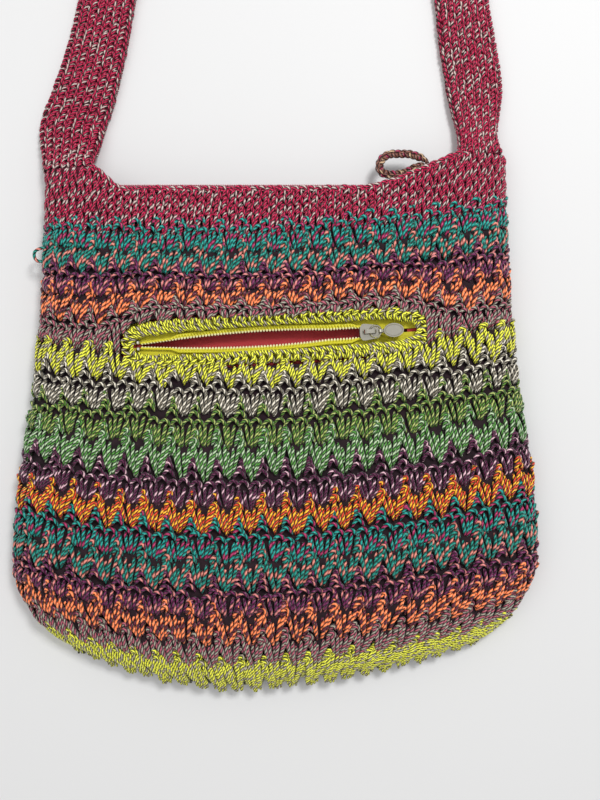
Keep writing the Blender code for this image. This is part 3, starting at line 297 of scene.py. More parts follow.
def yarn_material(name, main, second, plies, second_plies):
    """Mercerised cotton yarn, plied from strands of two colours: the plies wind round it as a barber's pole,
    with painted shade in the groove between them and a painted highlight along their crowns besides a silky
    gloss, painted shade on the flanks and a painted highlight on the tops where strands lie side by side, and a
    fine fibre that breaks up the light."""
    material, shader = new_material(name, {"Roughness": 0.34, "Sheen Weight": 0.15, "Sheen Roughness": 0.4,
                                           "IOR": 1.5})
    uv = add(material, "UVMap", uv_map="yarn")
    parts = add(material, "SeparateXYZ", {"Vector": uv})
    turn = add(material, "Math", {0: parts.outputs["X"], 1: parts.outputs["Y"]}, operation="ADD")
    place = add(material, "TexCoord").outputs["Object"]
    fibre = add(material, "TexNoise", {"Vector": place, "Scale": 1 / (1.6 * MM),
                                       "Detail": 3.0})
    wander = add(material, "Math", {0: fibre, 1: 0.16, 2: turn},
                 operation="MULTIPLY_ADD")
    repeated = add(material, "Math", {0: wander, 1: float(second_plies)},
                   operation="MULTIPLY")
    winding = add(material, "Math", {0: repeated}, operation="FRACT")
    share = second_plies / plies
    ramp = add(material, "ValToRGB", {"Fac": winding})
    stops = ramp.color_ramp.elements
    stops[0].position, stops[0].color = 0.0, linear(second)
    stops[1].position, stops[1].color = 1.0, linear(main)
    stops.new(share - 0.02).color = linear(second)
    stops.new(share + 0.02).color = linear(main)
    # Painted shade and highlight: the colour goes near black in the grooves between plies and brighter than the
    # yarn's own colour on their crowns.
    groove = add(material, "Math", {0: wander, 1: plies * math.pi}, operation="MULTIPLY")
    ridge = add(material, "Math", {0: groove}, operation="SINE")
    height = add(material, "Math", {0: ridge}, operation="ABSOLUTE")
    shade = add(material, "MapRange", {"Value": height, "From Min": 0.18, "From Max": 0.92,
                                       "To Min": 0.05, "To Max": 1.3})
    # Painted shade and highlight: the tube's flanks are darkened and its top brightened, as if lit from above,
    # so strands stand apart.
    side_angle = add(material, "Math", {0: parts.outputs["X"], 1: 2 * math.pi}, operation="MULTIPLY")
    upward = add(material, "Math", {0: side_angle}, operation="SINE")
    painted_flank_shade_top_light = add(material, "MapRange", {"Value": upward, "From Min": -0.2, "From Max": 0.85,
                                       "To Min": 0.10, "To Max": 1.15})
    both = add(material, "Math", {0: shade, 1: painted_flank_shade_top_light},
               operation="MULTIPLY")
    colour = add(material, "VectorMath", {0: ramp, "Scale": both},
                 operation="SCALE")
    total = add(material, "Math", {0: fibre, 1: 0.25, 2: height},
                operation="MULTIPLY_ADD")
    bump = add(material, "Bump", {"Height": total, "Strength": 1.0, "Distance": 0.6 * MM})
    plug(material, shader, {"Base Color": colour, "Normal": bump})
    return material


def shaped(values, places, at):
    """Reads a curve through (places, values) at 'at': cubic pieces that never overshoot the points."""
    steps = np.diff(places)
    slopes = np.diff(values) / steps
    tangents = np.zeros_like(values)
    same_way = slopes[:-1] * slopes[1:] > 0
    mean = 2 * slopes[:-1] * slopes[1:] / np.where(same_way, slopes[:-1] + slopes[1:], 1)
    tangents[1:-1] = np.where(same_way, mean, 0)
    tangents[0] = slopes[0]
    tangents[-1] = slopes[-1]
    at = np.clip(at, places[0], places[-1])
    piece = np.clip(np.searchsorted(places, at, side="right") - 1, 0, len(steps) - 1)
    t = (at - places[piece]) / steps[piece]
    height = steps[piece]
    return ((1 + 2 * t) * (1 - t) ** 2 * values[piece] + t * (1 - t) ** 2 * height * tangents[piece]
            + t * t * (3 - 2 * t) * values[piece + 1] + t * t * (t - 1) * height * tangents[piece + 1])


def ease(low, high, value):
    """0 below low, 1 above high, and a smooth step between them."""
    t = np.clip((value - low) / (high - low), 0, 1)
    return t * t * (3 - 2 * t)


def lengths(points):
    """Length along a line of points, from the first to each of them."""
    return np.concatenate([[0], np.cumsum(np.linalg.norm(np.diff(points, axis=0), axis=1))])


def outline_value(column, row_y):
    """Share in one column of OUTLINE at the height row_y."""
    return shaped(OUTLINE[:, column], OUTLINE[:, 0], (RIM_Y - row_y) / BODY_HEIGHT)


def unit(vectors):
    return vectors / np.maximum(np.linalg.norm(vectors, axis=-1, keepdims=True), 1e-12)


class Surface:
    """A grid of points, closed round its first direction and open along its second, that is read at any
    place. 'around' runs from 0 to 1 and comes back to its start; 'along' runs from 'first' to 'last'."""

    def __init__(self, points, first, last):
        self.points = points
        self.first = first
        self.last = last
        across = np.roll(points, -1, axis=0) - np.roll(points, 1, axis=0)
        down = np.gradient(points, axis=1)
        self.normals = unit(np.cross(down, across))

    def read(self, around, along):
        """Position and normal at (around, along), blended from the four nearest points of the grid."""
        count, lines, _ = self.points.shape
        x = (around % 1.0) * count
        y = np.clip((along - self.first) / (self.last - self.first), 0, 1) * (lines - 1)
        i = np.floor(x).astype(int) % count
        j = np.clip(np.floor(y).astype(int), 0, lines - 2)
        fx = (x - np.floor(x))[..., None]
        fy = (y - j)[..., None]
        after = (i + 1) % count
        result = []
        for grid in (self.points, self.normals):
            near = grid[i, j] * (1 - fx) + grid[after, j] * fx
            far = grid[i, j + 1] * (1 - fx) + grid[after, j + 1] * fx
            result.append(near * (1 - fy) + far * fy)
        return result[0], unit(result[1])


def shell_surface(count=560, lines_per_row=6):
    """The bag's shell. A row is an oval with a flat back: at the share s of its half width its height follows
    (1 - |s| ^ squareness) ^ 0.5, over the front and under the back. Its points are spread evenly by their
    distance, and 'along' counts rows from the mouth down."""
    heights = np.array([row[2] for row in ROWS])
    heights = heights * BODY_HEIGHT / heights.sum()
    edges = RIM_Y - np.concatenate([[0], np.cumsum(heights)])
    pushes = np.array([0.0] + [row[3] for row in ROWS])
    total = len(ROWS)
    first = -0.8
    last = total + 0.5
    along = np.linspace(first, last, int((last - first) * lines_per_row) + 1)
    index = np.arange(total + 1)
    row_y = np.interp(along, index, edges)
    row_y = row_y + np.where(along < 0, -along, 0) * heights[0]
    row_y = row_y - np.where(along > total, along - total, 0) * heights[-1]
    push = np.interp(along, index, pushes)
    turn = np.linspace(-math.pi / 2, math.pi / 2, 401)
    fine = np.sin(turn)
    columns = []
    for i in range(len(along)):
        y = row_y[i]
        width = BODY_HALF_WIDTH * outline_value(1, y)
        thick = BODY_THICKNESS * outline_value(4, y)
        seam = SEAM_SHARE * thick
        halves = []
        for front in (True, False):
            if front:
                share = fine
                z = seam + (thick - seam) * np.sqrt(1 - np.abs(share) ** FRONT_SQUARENESS)
            else:
                share = fine[::-1]
                under = np.sqrt(1 - np.abs(share) ** BACK_SQUARENESS)
                z = np.maximum(seam - (seam + BACK_PRESS) * under, 0)
            x = width * share
            run = lengths(np.column_stack([x, z]))
            even = np.linspace(0, run[-1], count // 2, endpoint=False)
            share = np.interp(even, run, share)
            x = width * share
            z = np.interp(even, run, z)
            left = SIDE_LIFT * outline_value(2, y)
            right = SIDE_LIFT * outline_value(3, y)
            reach = np.where(share < SAG_CENTRE, 1 + SAG_CENTRE, 1 - SAG_CENTRE)
            sag = (np.abs(share - SAG_CENTRE) / reach) ** SAG_POWER
            lift = np.where(share < SAG_CENTRE, left, right) * sag
            to_root = np.clip((x - RIGHT_RISE_START) / (ROOT_INNER_X - RIGHT_RISE_START), 0, 1)
            rise = RIGHT_RISE * to_root ** RIGHT_RISE_POWER
            rise = LEFT_RISE * ease(LEFT_RISE_START, ROOT_INNER_X, -x) + rise
            window = 1 - ease(POCKET_PUSH_INNER, POCKET_PUSH_OUTER, np.abs(x))
            high = y + lift + rise * ease(RIM_Y - CRIMSON_BAND, RIM_Y, y)
            high = high + (push[i] * window if front else 0)
            halves.append(np.stack([x, high, z], axis=1))
        columns.append(np.concatenate(halves))
    return Surface(np.stack(columns, axis=1), first, last)


def strap_surface():
    """The strap: a flat oval section, wide and thin, carried along its middle line and lying on the table.
    Its points are spread evenly round each section."""
    places = lengths(STRAP[:, :3])
    rows = int(places[-1] / STRAP_STITCH)
    at = np.linspace(0, places[-1], 2 * rows + 1)
    x, y, z, width, thick = (shaped(STRAP[:, i], places, at) for i in range(5))
    right = unit(np.stack([np.gradient(y, at), -np.gradient(x, at), np.zeros_like(x)], axis=1))
    turn = np.linspace(0, 2 * math.pi, 361)
    oval_x = np.sign(np.cos(turn)) * np.abs(np.cos(turn)) ** 0.6
    oval_z = np.sign(np.sin(turn)) * np.abs(np.sin(turn)) ** 0.55
    centre = np.stack([x, y, np.maximum(z, thick / 2 + TABLE_CLEARANCE)], axis=1)
    sections = []
    for i in range(len(at)):
        across = oval_x * (width[i] / 2 - THIN_YARN / 2)
        high = oval_z * (thick[i] / 2 - THIN_YARN / 2)
        run = lengths(np.column_stack([across, high]))
        even = np.linspace(0, run[-1], 96, endpoint=False)
        across, high = np.interp(even, run, across), np.interp(even, run, high)
        sections.append(centre[i] + across[:, None] * right[i] + high[:, None] * np.array([0, 0, 1.0]))
    return Surface(np.stack(sections, axis=1), 0, rows), rows


def slot_outline(offset, count):
    """The pocket opening's outline in its own frame, moved outwards by 'offset'."""
    turn = np.linspace(0, 2 * math.pi, 4 * count, endpoint=False)
    power = 2 / SLOT_SQUARENESS
    x = SLOT_HALF_LENGTH * np.sign(np.cos(turn)) * np.abs(np.cos(turn)) ** power
    y = SLOT_HALF_HEIGHT * np.sign(np.sin(turn)) * np.abs(np.sin(turn)) ** power
    normal = unit(np.stack([np.roll(y, -1) - np.roll(y, 1), np.roll(x, 1) - np.roll(x, -1)], axis=1))
    line = np.stack([x, y], axis=1) + offset * normal
    closed = np.concatenate([line, line[:1]])
    run = lengths(closed)
    even = np.linspace(0, run[-1], count, endpoint=False)
    return np.stack([np.interp(even, run, closed[:, 0]), np.interp(even, run, closed[:, 1])], axis=1)


def from_pocket(points):
    """Turns points of the pocket's frame into the bag's frame."""
    c, s = math.cos(POCKET_TILT), math.sin(POCKET_TILT)
    x, y, z = points[..., 0], points[..., 1], points[..., 2]
    return np.stack([c * x - s * y, POCKET_Y + s * x + c * y, z], axis=-1)


def to_pocket(points):
    """Turns points of the bag's frame into the pocket's frame."""
    c, s = math.cos(POCKET_TILT), math.sin(POCKET_TILT)
    x, y = points[..., 0], points[..., 1] - POCKET_Y
    return np.stack([c * x + s * y, -s * x + c * y, points[..., 2]], axis=-1)


def edging_surface(count=400):
    """The pocket's edging: a low rounded band carried round the opening."""
    low, high = (corner[2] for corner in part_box("pocket_edging"))
    share = np.linspace(0, 1, 17)
    rings = []
    for s in share:
        flat = slot_outline(EDGING_WIDTH * s + EDGING_GAP, count)
        crown = EDGING_SHOULDER + (1 - EDGING_SHOULDER) * math.sin(math.pi * s) ** 0.5
        z = low + (high - low) * crown
        rings.append(np.column_stack([flat, np.full(count, z)]))
    points = from_pocket(np.stack(rings, axis=1))
    return Surface(points, 0, 2)


def curve_points(control, count):
    """Reads smooth curves through evenly spaced control points: Catmull-Rom pieces, at 'count' places."""
    control = np.asarray(control, float)
    before = 2 * control[:, :1] - control[:, 1:2]
    after = 2 * control[:, -1:] - control[:, -2:-1]
    padded = np.concatenate([before, control, after], axis=1)
    pieces = control.shape[1] - 1
    t = np.linspace(0, pieces, count)
    i = np.minimum(t.astype(int), pieces - 1)
    f = (t - i)[None, :, None]
    a, b, c, d = (padded[:, i + k] for k in range(4))
    return 0.5 * (2 * b + (c - a) * f + (2 * a - 5 * b + 4 * c - d) * f ** 2
                  + (3 * b - a - 3 * c + d) * f ** 3)


def tube_mesh(name, centres, normals, radii, sides, phase=None, run=None):
    """Makes many closed tubes at once: a ring of 'sides' points round each centre, at the radius there, in the
    plane across the tube. Its UV map 'yarn' holds the share of a turn, and the length in turns of the plies,
    which 'run' replaces and 'phase' shifts."""
    tubes, rings, _ = centres.shape
    forward = unit(np.gradient(centres, axis=1))
    side = unit(np.cross(forward, normals))
    up = np.cross(side, forward)
    turn = np.linspace(0, 2 * math.pi, sides, endpoint=False)
    cosine, sine = np.cos(turn)[None, None, :, None], np.sin(turn)[None, None, :, None]
    spokes = cosine * side[:, :, None] + sine * up[:, :, None]
    vertices = centres[:, :, None] + radii[..., None, None] * spokes
    if run is None:
        steps = np.linalg.norm(np.diff(centres, axis=1), axis=2)
        run = np.concatenate([np.zeros((tubes, 1)), np.cumsum(steps, axis=1)], axis=1) / PLY_PITCH
    if phase is not None:
        run = run + phase[:, None]
    base = np.arange(tubes)[:, None, None] * rings * sides
    ring = np.arange(rings - 1)[None, :, None] * sides
    here = np.arange(sides)[None, None, :]
    there = (here + 1) % sides
    quads = np.stack([base + ring + here, base + ring + there, base + ring + sides + there,
                      base + ring + sides + here], axis=-1)
    u0 = np.broadcast_to(here / sides, quads.shape[:3])
    u1 = u0 + 1 / sides
    v0 = np.broadcast_to(run[:, :-1, None], quads.shape[:3])
    v1 = np.broadcast_to(run[:, 1:, None], quads.shape[:3])
    uv = np.stack([np.stack(corner, -1) for corner in ((u0, v0), (u1, v0), (u1, v1), (u0, v1))], axis=-2)
    first = base[:, :, 0] + np.arange(sides)[None, ::-1]
    last = base[:, :, 0] + (rings - 1) * sides + np.arange(sides)[None]
    caps = np.stack([first, last], axis=1)
    ends = np.stack([run[:, 0], run[:, -1]], axis=1)
    cap_uv = np.stack(np.broadcast_arrays(0.1, ends[:, :, None] + np.zeros(sides)), axis=-1)
    loops = np.concatenate([quads.reshape(-1), caps.reshape(-1)])
    coordinates = np.concatenate([uv.reshape(-1, 2), cap_uv.reshape(-1, 2)])
    totals = np.concatenate([np.full(quads.size // 4, 4), np.full(2 * tubes, sides)])
    return array_object(name, vertices.reshape(-1, 3), loops, totals, coordinates)


def put(name, data):
    """Puts a mesh, a light or a camera into the scene."""
    thing = bpy.data.objects.new(name, data)
    bpy.context.scene.collection.objects.link(thing)
    return thing


def array_object(name, vertices, loops, totals, coordinates):
    """Puts whole arrays of vertices, faces and UV coordinates into a smooth mesh object."""
    mesh = bpy.data.meshes.new(name)
    mesh.vertices.add(len(vertices))
    mesh.vertices.foreach_set("co", np.ascontiguousarray(vertices, np.float32).ravel())
    mesh.loops.add(len(loops))
    mesh.loops.foreach_set("vertex_index", np.ascontiguousarray(loops, np.int32))
    mesh.polygons.add(len(totals))
    mesh.polygons.foreach_set("loop_start", np.concatenate([[0], np.cumsum(totals)[:-1]]).astype(np.int32))
    mesh.polygons.foreach_set("loop_total", np.asarray(totals, np.int32))
    mesh.update(calc_edges=True)
    layer = mesh.uv_layers.new(name="yarn")
    layer.data.foreach_set("uv", np.ascontiguousarray(coordinates, np.float32).ravel())
    mesh.shade_smooth()
    return put(name, mesh)


# Strands of one stitch: places across it (0 is its lower point), down the row (0 to 1), and yarn radii outwards
VEE = np.array((
    ((-0.49, -0.14, 0.4), (-0.43, 0.16, 1.5), (-0.34, 0.50, 1.8), (-0.24, 0.84, 1.3), (-0.14, 1.12, 0.1)),
    ((-0.19, 0.16, 0.2), (-0.19, 0.42, 1.4), (-0.14, 0.66, 1.9), (-0.08, 0.98, 1.5), (-0.02, 1.28, 0.2)),
    ((0.20, 0.20, 0.2), (0.20, 0.44, 1.3), (0.15, 0.68, 1.8), (0.10, 0.98, 1.3), (0.05, 1.24, 0.1)),
    ((0.49, -0.12, 0.4), (0.43, 0.18, 1.4), (0.35, 0.52, 1.7), (0.26, 0.84, 1.2), (0.17, 1.10, 0.0)),
    ((0.31, 0.14, 0.9), (0.38, -0.04, 1.9), (0.50, -0.13, 2.4), (0.62, -0.04, 1.9), (0.69, 0.14, 0.9)),
    ((0.37, -0.12, 0.4), (0.42, -0.28, 1.4), (0.50, -0.36, 1.8), (0.58, -0.28, 1.4), (0.63, -0.12, 0.4)),
    ((0.38, 0.66, -0.2), (0.43, 0.42, 0.8), (0.51, 0.30, 1.2), (0.59, 0.42, 0.8), (0.63, 0.66, -0.2)),
    ((0.00, 0.30, -0.6), (-0.01, 0.46, 0.2), (0.00, 0.62, 0.8), (0.02, 0.80, 0.6), (0.01, 0.98, 0.1)),
))
# Strokes that fan down beside the pocket and at the bag's foot, where a round is taller
FAN = np.array((
    ((-0.46, -0.30, 0.4), (-0.46, 0.05, 1.4), (-0.42, 0.40, 1.6), (-0.36, 0.75, 1.3), (-0.30, 1.15, 0.3)),
    ((-0.28, -0.28, 0.4), (-0.25, 0.08, 1.5), (-0.22, 0.42, 1.7), (-0.19, 0.78, 1.3), (-0.16, 1.20, 0.3)),
    ((-0.08, -0.30, 0.4), (-0.06, 0.05, 1.3), (-0.04, 0.40, 1.6), (-0.03, 0.75, 1.3), (-0.02, 1.22, 0.3)),
    ((0.12, -0.28, 0.4), (0.12, 0.08, 1.5), (0.12, 0.42, 1.7), (0.11, 0.78, 1.3), (0.12, 1.20, 0.3)),
    ((0.31, -0.30, 0.4), (0.31, 0.05, 1.4), (0.29, 0.40, 1.6), (0.27, 0.75, 1.3), (0.26, 1.15, 0.3)),
    ((0.47, 0.95, 0.4), (0.45, 0.55, 1.2), (0.50, 0.38, 1.8), (0.56, 0.55, 1.2), (0.55, 0.95, 0.4)),
))
SINGLE = np.array((
    ((0.41, -0.14, 0.4), (0.44, -0.32, 1.3), (0.50, -0.40, 1.6), (0.56, -0.32, 1.3), (0.60, -0.14, 0.4)),
    ((0.32, 0.06, 0.6), (0.39, -0.12, 1.6), (0.50, -0.20, 1.9), (0.62, -0.12, 1.6), (0.69, 0.06, 0.6)),
    ((0.25, 0.26, 0.6), (0.36, 0.09, 1.6), (0.50, 0.02, 1.9), (0.64, 0.09, 1.6), (0.76, 0.26, 0.6)),
    ((-0.08, 0.50, 0.5), (0.06, 0.34, 1.5), (0.21, 0.28, 1.8), (0.36, 0.34, 1.5), (0.47, 0.50, 0.5)),
    ((-0.56, 0.50, 0.5), (-0.43, 0.34, 1.5), (-0.29, 0.28, 1.8), (-0.15, 0.34, 1.5), (-0.04, 0.50, 0.5)),
    ((-0.47, 0.48, 0.4), (-0.43, 0.64, 1.3), (-0.37, 0.80, 1.5), (-0.30, 0.94, 1.1), (-0.23, 1.08, 0.2)),
    ((-0.25, 0.46, 0.4), (-0.21, 0.64, 1.4), (-0.17, 0.80, 1.6), (-0.13, 0.96, 1.2), (-0.09, 1.14, 0.3)),
    ((0.00, 0.44, 0.4), (0.00, 0.62, 1.3), (0.01, 0.80, 1.5), (0.01, 0.96, 1.2), (0.01, 1.16, 0.3)),
    ((0.25, 0.46, 0.4), (0.21, 0.64, 1.4), (0.17, 0.80, 1.6), (0.13, 0.96, 1.2), (0.10, 1.14, 0.3)),
    ((0.47, 0.48, 0.4), (0.43, 0.64, 1.3), (0.37, 0.80, 1.5), (0.30, 0.94, 1.1), (0.24, 1.08, 0.2)),
))
BAND = np.array((
    ((-0.48, -0.40, 0.3), (-0.38, -0.06, 1.3), (-0.26, 0.28, 1.5), (-0.14, 0.62, 1.1), (-0.04, 0.98, 0.1)),
    ((0.50, -0.38, 0.3), (0.41, -0.04, 1.2), (0.30, 0.30, 1.4), (0.19, 0.64, 1.0), (0.09, 0.98, 0.1)),
))
SLANTED = np.array((
    ((-0.90, 0.10, 0.4), (-0.50, 0.22, 1.4), (-0.05, 0.42, 1.7), (0.36, 0.66, 1.4), (0.72, 0.90, 0.4)),
    ((-0.42, 0.04, 0.2), (-0.12, 0.12, 0.9), (0.16, 0.20, 1.1), (0.42, 0.38, 0.8), (0.66, 0.58, 0.1)),
))
CHAIN = np.array((
    ((-0.62, 0.36, 0.5), (-0.30, 0.10, 1.6), (0.08, -0.02, 1.9), (0.44, 0.08, 1.5), (0.76, 0.34, 0.4)),
    ((-0.20, 0.40, 0.3), (-0.04, 0.34, 1.0), (0.14, 0.32, 1.1), (0.32, 0.36, 0.9), (0.50, 0.46, 0.2)),
))
rng = np.random.default_rng(11)


def lay(name, surface, around, along, lift, thick, sink, spread, taper, sides, fit=None):
    """Lays strands on a surface, lifted by so many yarn radii, and makes them tubes of yarn above the table."""
    place, normal = surface.read(around, along)
    radii = thick / 2 * (1 + rng.normal(0, spread, len(around)))[:, None] * taper
    centres = place + normal * (lift * thick / 2 - sink * thick)[..., None]
    centres[..., 2] = np.maximum(centres[..., 2], radii + TABLE_CLEARANCE)
    if fit is not None:
        centres, wanted = fit(centres)
        centres, normal, radii = centres[wanted], normal[wanted], radii[wanted]
    return tube_mesh(name, centres, normal, radii, sides, phase=rng.random(len(centres)))


def worked_row(name, surface, strands, columns, row, thick, rings=8, sides=6, fit=None, drop=1.0):
    """Works one round of stitches on a surface. Small seeded offsets keep them from repeating, and what hangs
    below the row's top is multiplied by 'drop'."""
    control = np.tile(strands, (columns, 1, 1))
    count = len(control)
    column = np.repeat(np.arange(columns), len(strands))
    hand = rng.normal(0, 1, (columns, 3)).repeat(len(strands), axis=0) * STITCH_SPREAD
    slip = rng.normal(0, 1, (count, 3)) * STRAND_SPREAD
    line = curve_points(control + (hand + slip)[:, None], rings)
    down = np.where(line[..., 1] > 0, drop * line[..., 1], line[..., 1])
    around = (column[:, None] + 0.5 + line[..., 0]) / columns
    taper = 1 - END_TAPER * np.abs(np.linspace(-1, 1, rings)) ** 8
    return lay(name, surface, around, row + down, line[..., 2], thick, STRAND_SINK, YARN_SPREAD, taper, sides,
               fit)


def round_the_pocket(centres):
    """Fits strands of the front round the pocket's edging: a point that would lie on it is moved up or down to
    its outer edge, and a strand with most of its points there is left out."""
    local = to_pocket(centres)
    reach = EDGING_WIDTH - 1.3 * MM
    width = SLOT_HALF_LENGTH + reach
    height = SLOT_HALF_HEIGHT + reach
    share = np.clip(np.abs(local[..., 0]) / width, 0, 1)
    edge = height * (1 - share ** SLOT_SQUARENESS) ** (1 / SLOT_SQUARENESS)
    front = centres[..., 2] > BODY_THICKNESS / 2
    inside = front & (np.abs(local[..., 1]) < edge)
    above = np.broadcast_to(local[..., 1].mean(axis=1, keepdims=True) > 0, inside.shape)
    moved = local.copy()
    moved[..., 1] = np.where(inside, np.where(above, edge, -edge), local[..., 1])
    return from_pocket(moved), inside.mean(axis=1) < 0.6


def between_the_roots(centres):
    """Keeps the strands that lie between the strap's roots."""
    return centres, (np.abs(centres[..., 0]) < ROOT_INNER_X + 4 * MM).all(axis=1)


def beside_the_pocket(centres):
    """Keeps the strands that have room beside the pocket: longer than 3 mm, and clear of its edging."""
    centres, _ = round_the_pocket(centres)
    local = to_pocket(centres)
    clear = (np.abs(local[..., 0]) > SLOT_HALF_LENGTH + EDGING_WIDTH - 1.5 * MM).all(axis=1)
    return centres, clear & (np.linalg.norm(centres[:, -1] - centres[:, 0], axis=1) > 3 * MM)


yarns = {}


def yarn(name):
    """The yarn's material, made when it is first asked for."""
    if name not in yarns:
        yarns[name] = yarn_material("plied_cotton_" + name, *YARNS[name])
    return yarns[name]


def dress(piece, material, node):
    """Gives a piece its material and slot, and lets it ride on the bag in the place of a CAD node."""
    piece.data.materials.append(material)
    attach(piece, "bag")
    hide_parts(node)


def body_rows():
    """Works the chain on the mouth's edge, and then the rows of the bag from the mouth down."""
    shell = shell_surface()
    rim = worked_row("rim_chain", shell, CHAIN, BAND_COLUMNS, RIM_CHAIN_ROW, THIN_YARN, fit=between_the_roots)
    dress(rim, yarn("crimson"), "crochet_body")
    for row, (name, stitch, _, _) in enumerate(ROWS):
        label = f"row_{row + 1:02d}_{name}"
        if stitch == "band":
            piece = worked_row(label, shell, BAND, BAND_COLUMNS, row + BAND_DROP, THIN_YARN, rings=7, sides=5)
        elif stitch == "pocket":
            piece = worked_row(label, shell, FAN, COLUMNS, row, THIN_YARN, fit=beside_the_pocket)
        elif stitch == "single":
            strands = SINGLE[2:] if ROWS[row - 1][1] == "band" else SINGLE
            piece = worked_row(label, shell, strands, COLUMNS, row, SINGLE_YARN, rings=7, fit=round_the_pocket)
        elif row + 1 < len(ROWS):
            piece = worked_row(label, shell, VEE, COLUMNS, row, YARN, fit=round_the_pocket)
        else:
            strands = np.concatenate([VEE, FAN * (1, 1.12, 1) - (0, 0, 0.3)])
            piece = worked_row(label, shell, strands, COLUMNS, row, YARN, fit=round_the_pocket, drop=0.9)
        dress(piece, yarn(name), "crochet_body")


def copy_of_node(name, node, inset):
    """A merged copy of a CAD node, whose faces lie inside the node's own by 'inset'."""
    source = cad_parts[node]
    bm = bmesh.new()
    bm.from_mesh(source.data)
    bmesh.ops.remove_doubles(bm, verts=bm.verts, dist=1e-6)
    bm.normal_update()
    for vertex in bm.verts:
        vertex.co -= vertex.normal * inset
    mesh = bpy.data.meshes.new(name)
    bm.to_mesh(mesh)
    bm.free()
    return put(name, mesh)


def painted_shade_ground_material():
    """Inner side of the crochet between the strands, coloured as painted shade: dark crimson in the band, dark
    plum below it.
    """
    material, shader = new_material("cotton_behind_stitches_painted_shade", {"Roughness": 0.95})
    place = add(material, "TexCoord").outputs["Object"]
    noise = add(material, "TexNoise", {"Vector": place, "Scale": 1 / (3 * MM), "Detail": 4.0})
    parts = add(material, "SeparateXYZ", {"Vector": place})
    band = add(material, "MapRange", {"Value": parts.outputs["Y"], "From Min": RIM_Y - CRIMSON_BAND,
                                      "From Max": RIM_Y - CRIMSON_BAND + 2 * MM})
    # Painted shade: these very dark colours stand for the shade in the gaps between the strands.
    mixed = add(material, "Mix", {"Factor": band, "A": linear(0x2A141E), "B": linear(0x7A1436)},
                data_type="RGBA")
    shade = add(material, "MapRange", {"Value": noise, "From Min": 0.3, "From Max": 0.7,
                                       "To Min": 0.35, "To Max": 1.0})
    colour = add(material, "VectorMath", {0: mixed, "Scale": shade},
                 operation="SCALE")
    bump = add(material, "Bump", {"Height": noise, "Strength": 0.6, "Distance": 0.8 * MM})
    plug(material, shader, {"Base Color": colour, "Normal": bump})
    return material


def strap_pieces():
    """Works the strap in two halves: wales of slanted stitches that run along it, round both its faces."""
    surface, rows = strap_surface()
    half = rows // 2
    for name, first, last in (("strap_left_half", 0, half), ("strap_right_half", half, rows)):
        row = np.arange(first, last)
        control = np.tile(BAND, (STRAP_WALES * len(row), 1, 1))
        column = np.tile(np.repeat(np.arange(STRAP_WALES), len(BAND)), len(row))
        row_of = np.repeat(row, STRAP_WALES * len(BAND))
        line = curve_points(control + rng.normal(0, 1, (len(control), 1, 3)) * STRAP_SPREAD, len(STRAP_TAPER))
        around = (column[:, None] + 0.5 + line[..., 0]) / STRAP_WALES
        piece = lay(name, surface, around, row_of[:, None] + line[..., 1], line[..., 2], THIN_YARN, STRAP_SINK,
                    STRAP_YARN_SPREAD, STRAP_TAPER, 5)
        dress(piece, yarn("crimson"), "shoulder_strap")


def edging_pieces():
    """Works the two yellow rounds round the pocket's opening."""
    surface = edging_surface()
    for i, count, strands in ((0, 70, SLANTED), (1, 74, BAND)):
        piece = worked_row(f"pocket_edging_round_{i + 1}", surface, strands, count, i, THIN_YARN, rings=7)
        dress(piece, yarn("yellow_taupe"), "pocket_edging")


def cloth_material(name, colour, dark, thread):
    """Plain woven cloth: two sets of threads at right angles, as a fine grid of ridges with a soft sheen,
    and painted shade in the darker hollows between the threads.
    """
    material, shader = new_material(name, {"Roughness": 0.62, "Sheen Weight": 0.25, "Sheen Roughness": 0.4})
    place = add(material, "TexCoord").outputs["Object"]
    count = WAVE_LENGTH / thread
    warp, weft = (add(material, "TexWave", {"Vector": place, "Scale": count}, bands_direction=axis)
                  for axis in "XY")
    weave = add(material, "Math", {0: warp.outputs["Fac"], 1: weft.outputs["Fac"]}, operation="MULTIPLY")
    folds = add(material, "TexNoise", {"Vector": place, "Scale": 1 / (14 * MM), "Detail": 2.0})
    height = add(material, "Math", {0: folds, 1: 6.0, 2: weave},
                 operation="MULTIPLY_ADD")
    # Painted shade: the hollows of the weave take the darker colour.
    ramp = add(material, "ValToRGB", {"Fac": weave})
    ramp.color_ramp.elements[0].color = linear(dark)
    ramp.color_ramp.elements[1].color = linear(colour)
    ramp.color_ramp.elements[1].position = 0.4
    bump = add(material, "Bump", {"Height": height, "Strength": 0.6, "Distance": 0.25 * MM})
    plug(material, shader, {"Base Color": ramp, "Normal": bump})
    return material


def nickel_material():
    """Zinc casting with an antique nickel plating: bright warm grey on its crowns, brown-black in its hollows,
    and unevenly worn, which breaks up the reflections."""
    material, shader = new_material("antique_nickel_plating", {"Metallic": 1.0})
    place = add(material, "TexCoord").outputs["Object"]
    noise = add(material, "TexNoise", {"Vector": place, "Scale": 1 / (0.5 * MM), "Detail": 3.0})
    hollow = add(material, "AmbientOcclusion", {"Distance": 1.6 * MM}, samples=8)
    depth = add(material, "MapRange", {"Value": hollow.outputs["AO"], "From Min": 0.45, "From Max": 0.95})
    mixed = add(material, "Math", {0: noise, 1: 0.35, 2: depth},
                operation="MULTIPLY_ADD")
    ramp = add(material, "ValToRGB", {"Fac": mixed})
    ramp.color_ramp.elements[0].position = 0.2
    ramp.color_ramp.elements[0].color = linear(0x2E261C)
    ramp.color_ramp.elements[1].position = 1.0
    ramp.color_ramp.elements[1].color = linear(0xD6D2C4)
    rough = add(material, "MapRange", {"Value": noise, "To Min": 0.12, "To Max": 0.26})
    plug(material, shader, {"Base Color": ramp, "Roughness": rough})
    return material


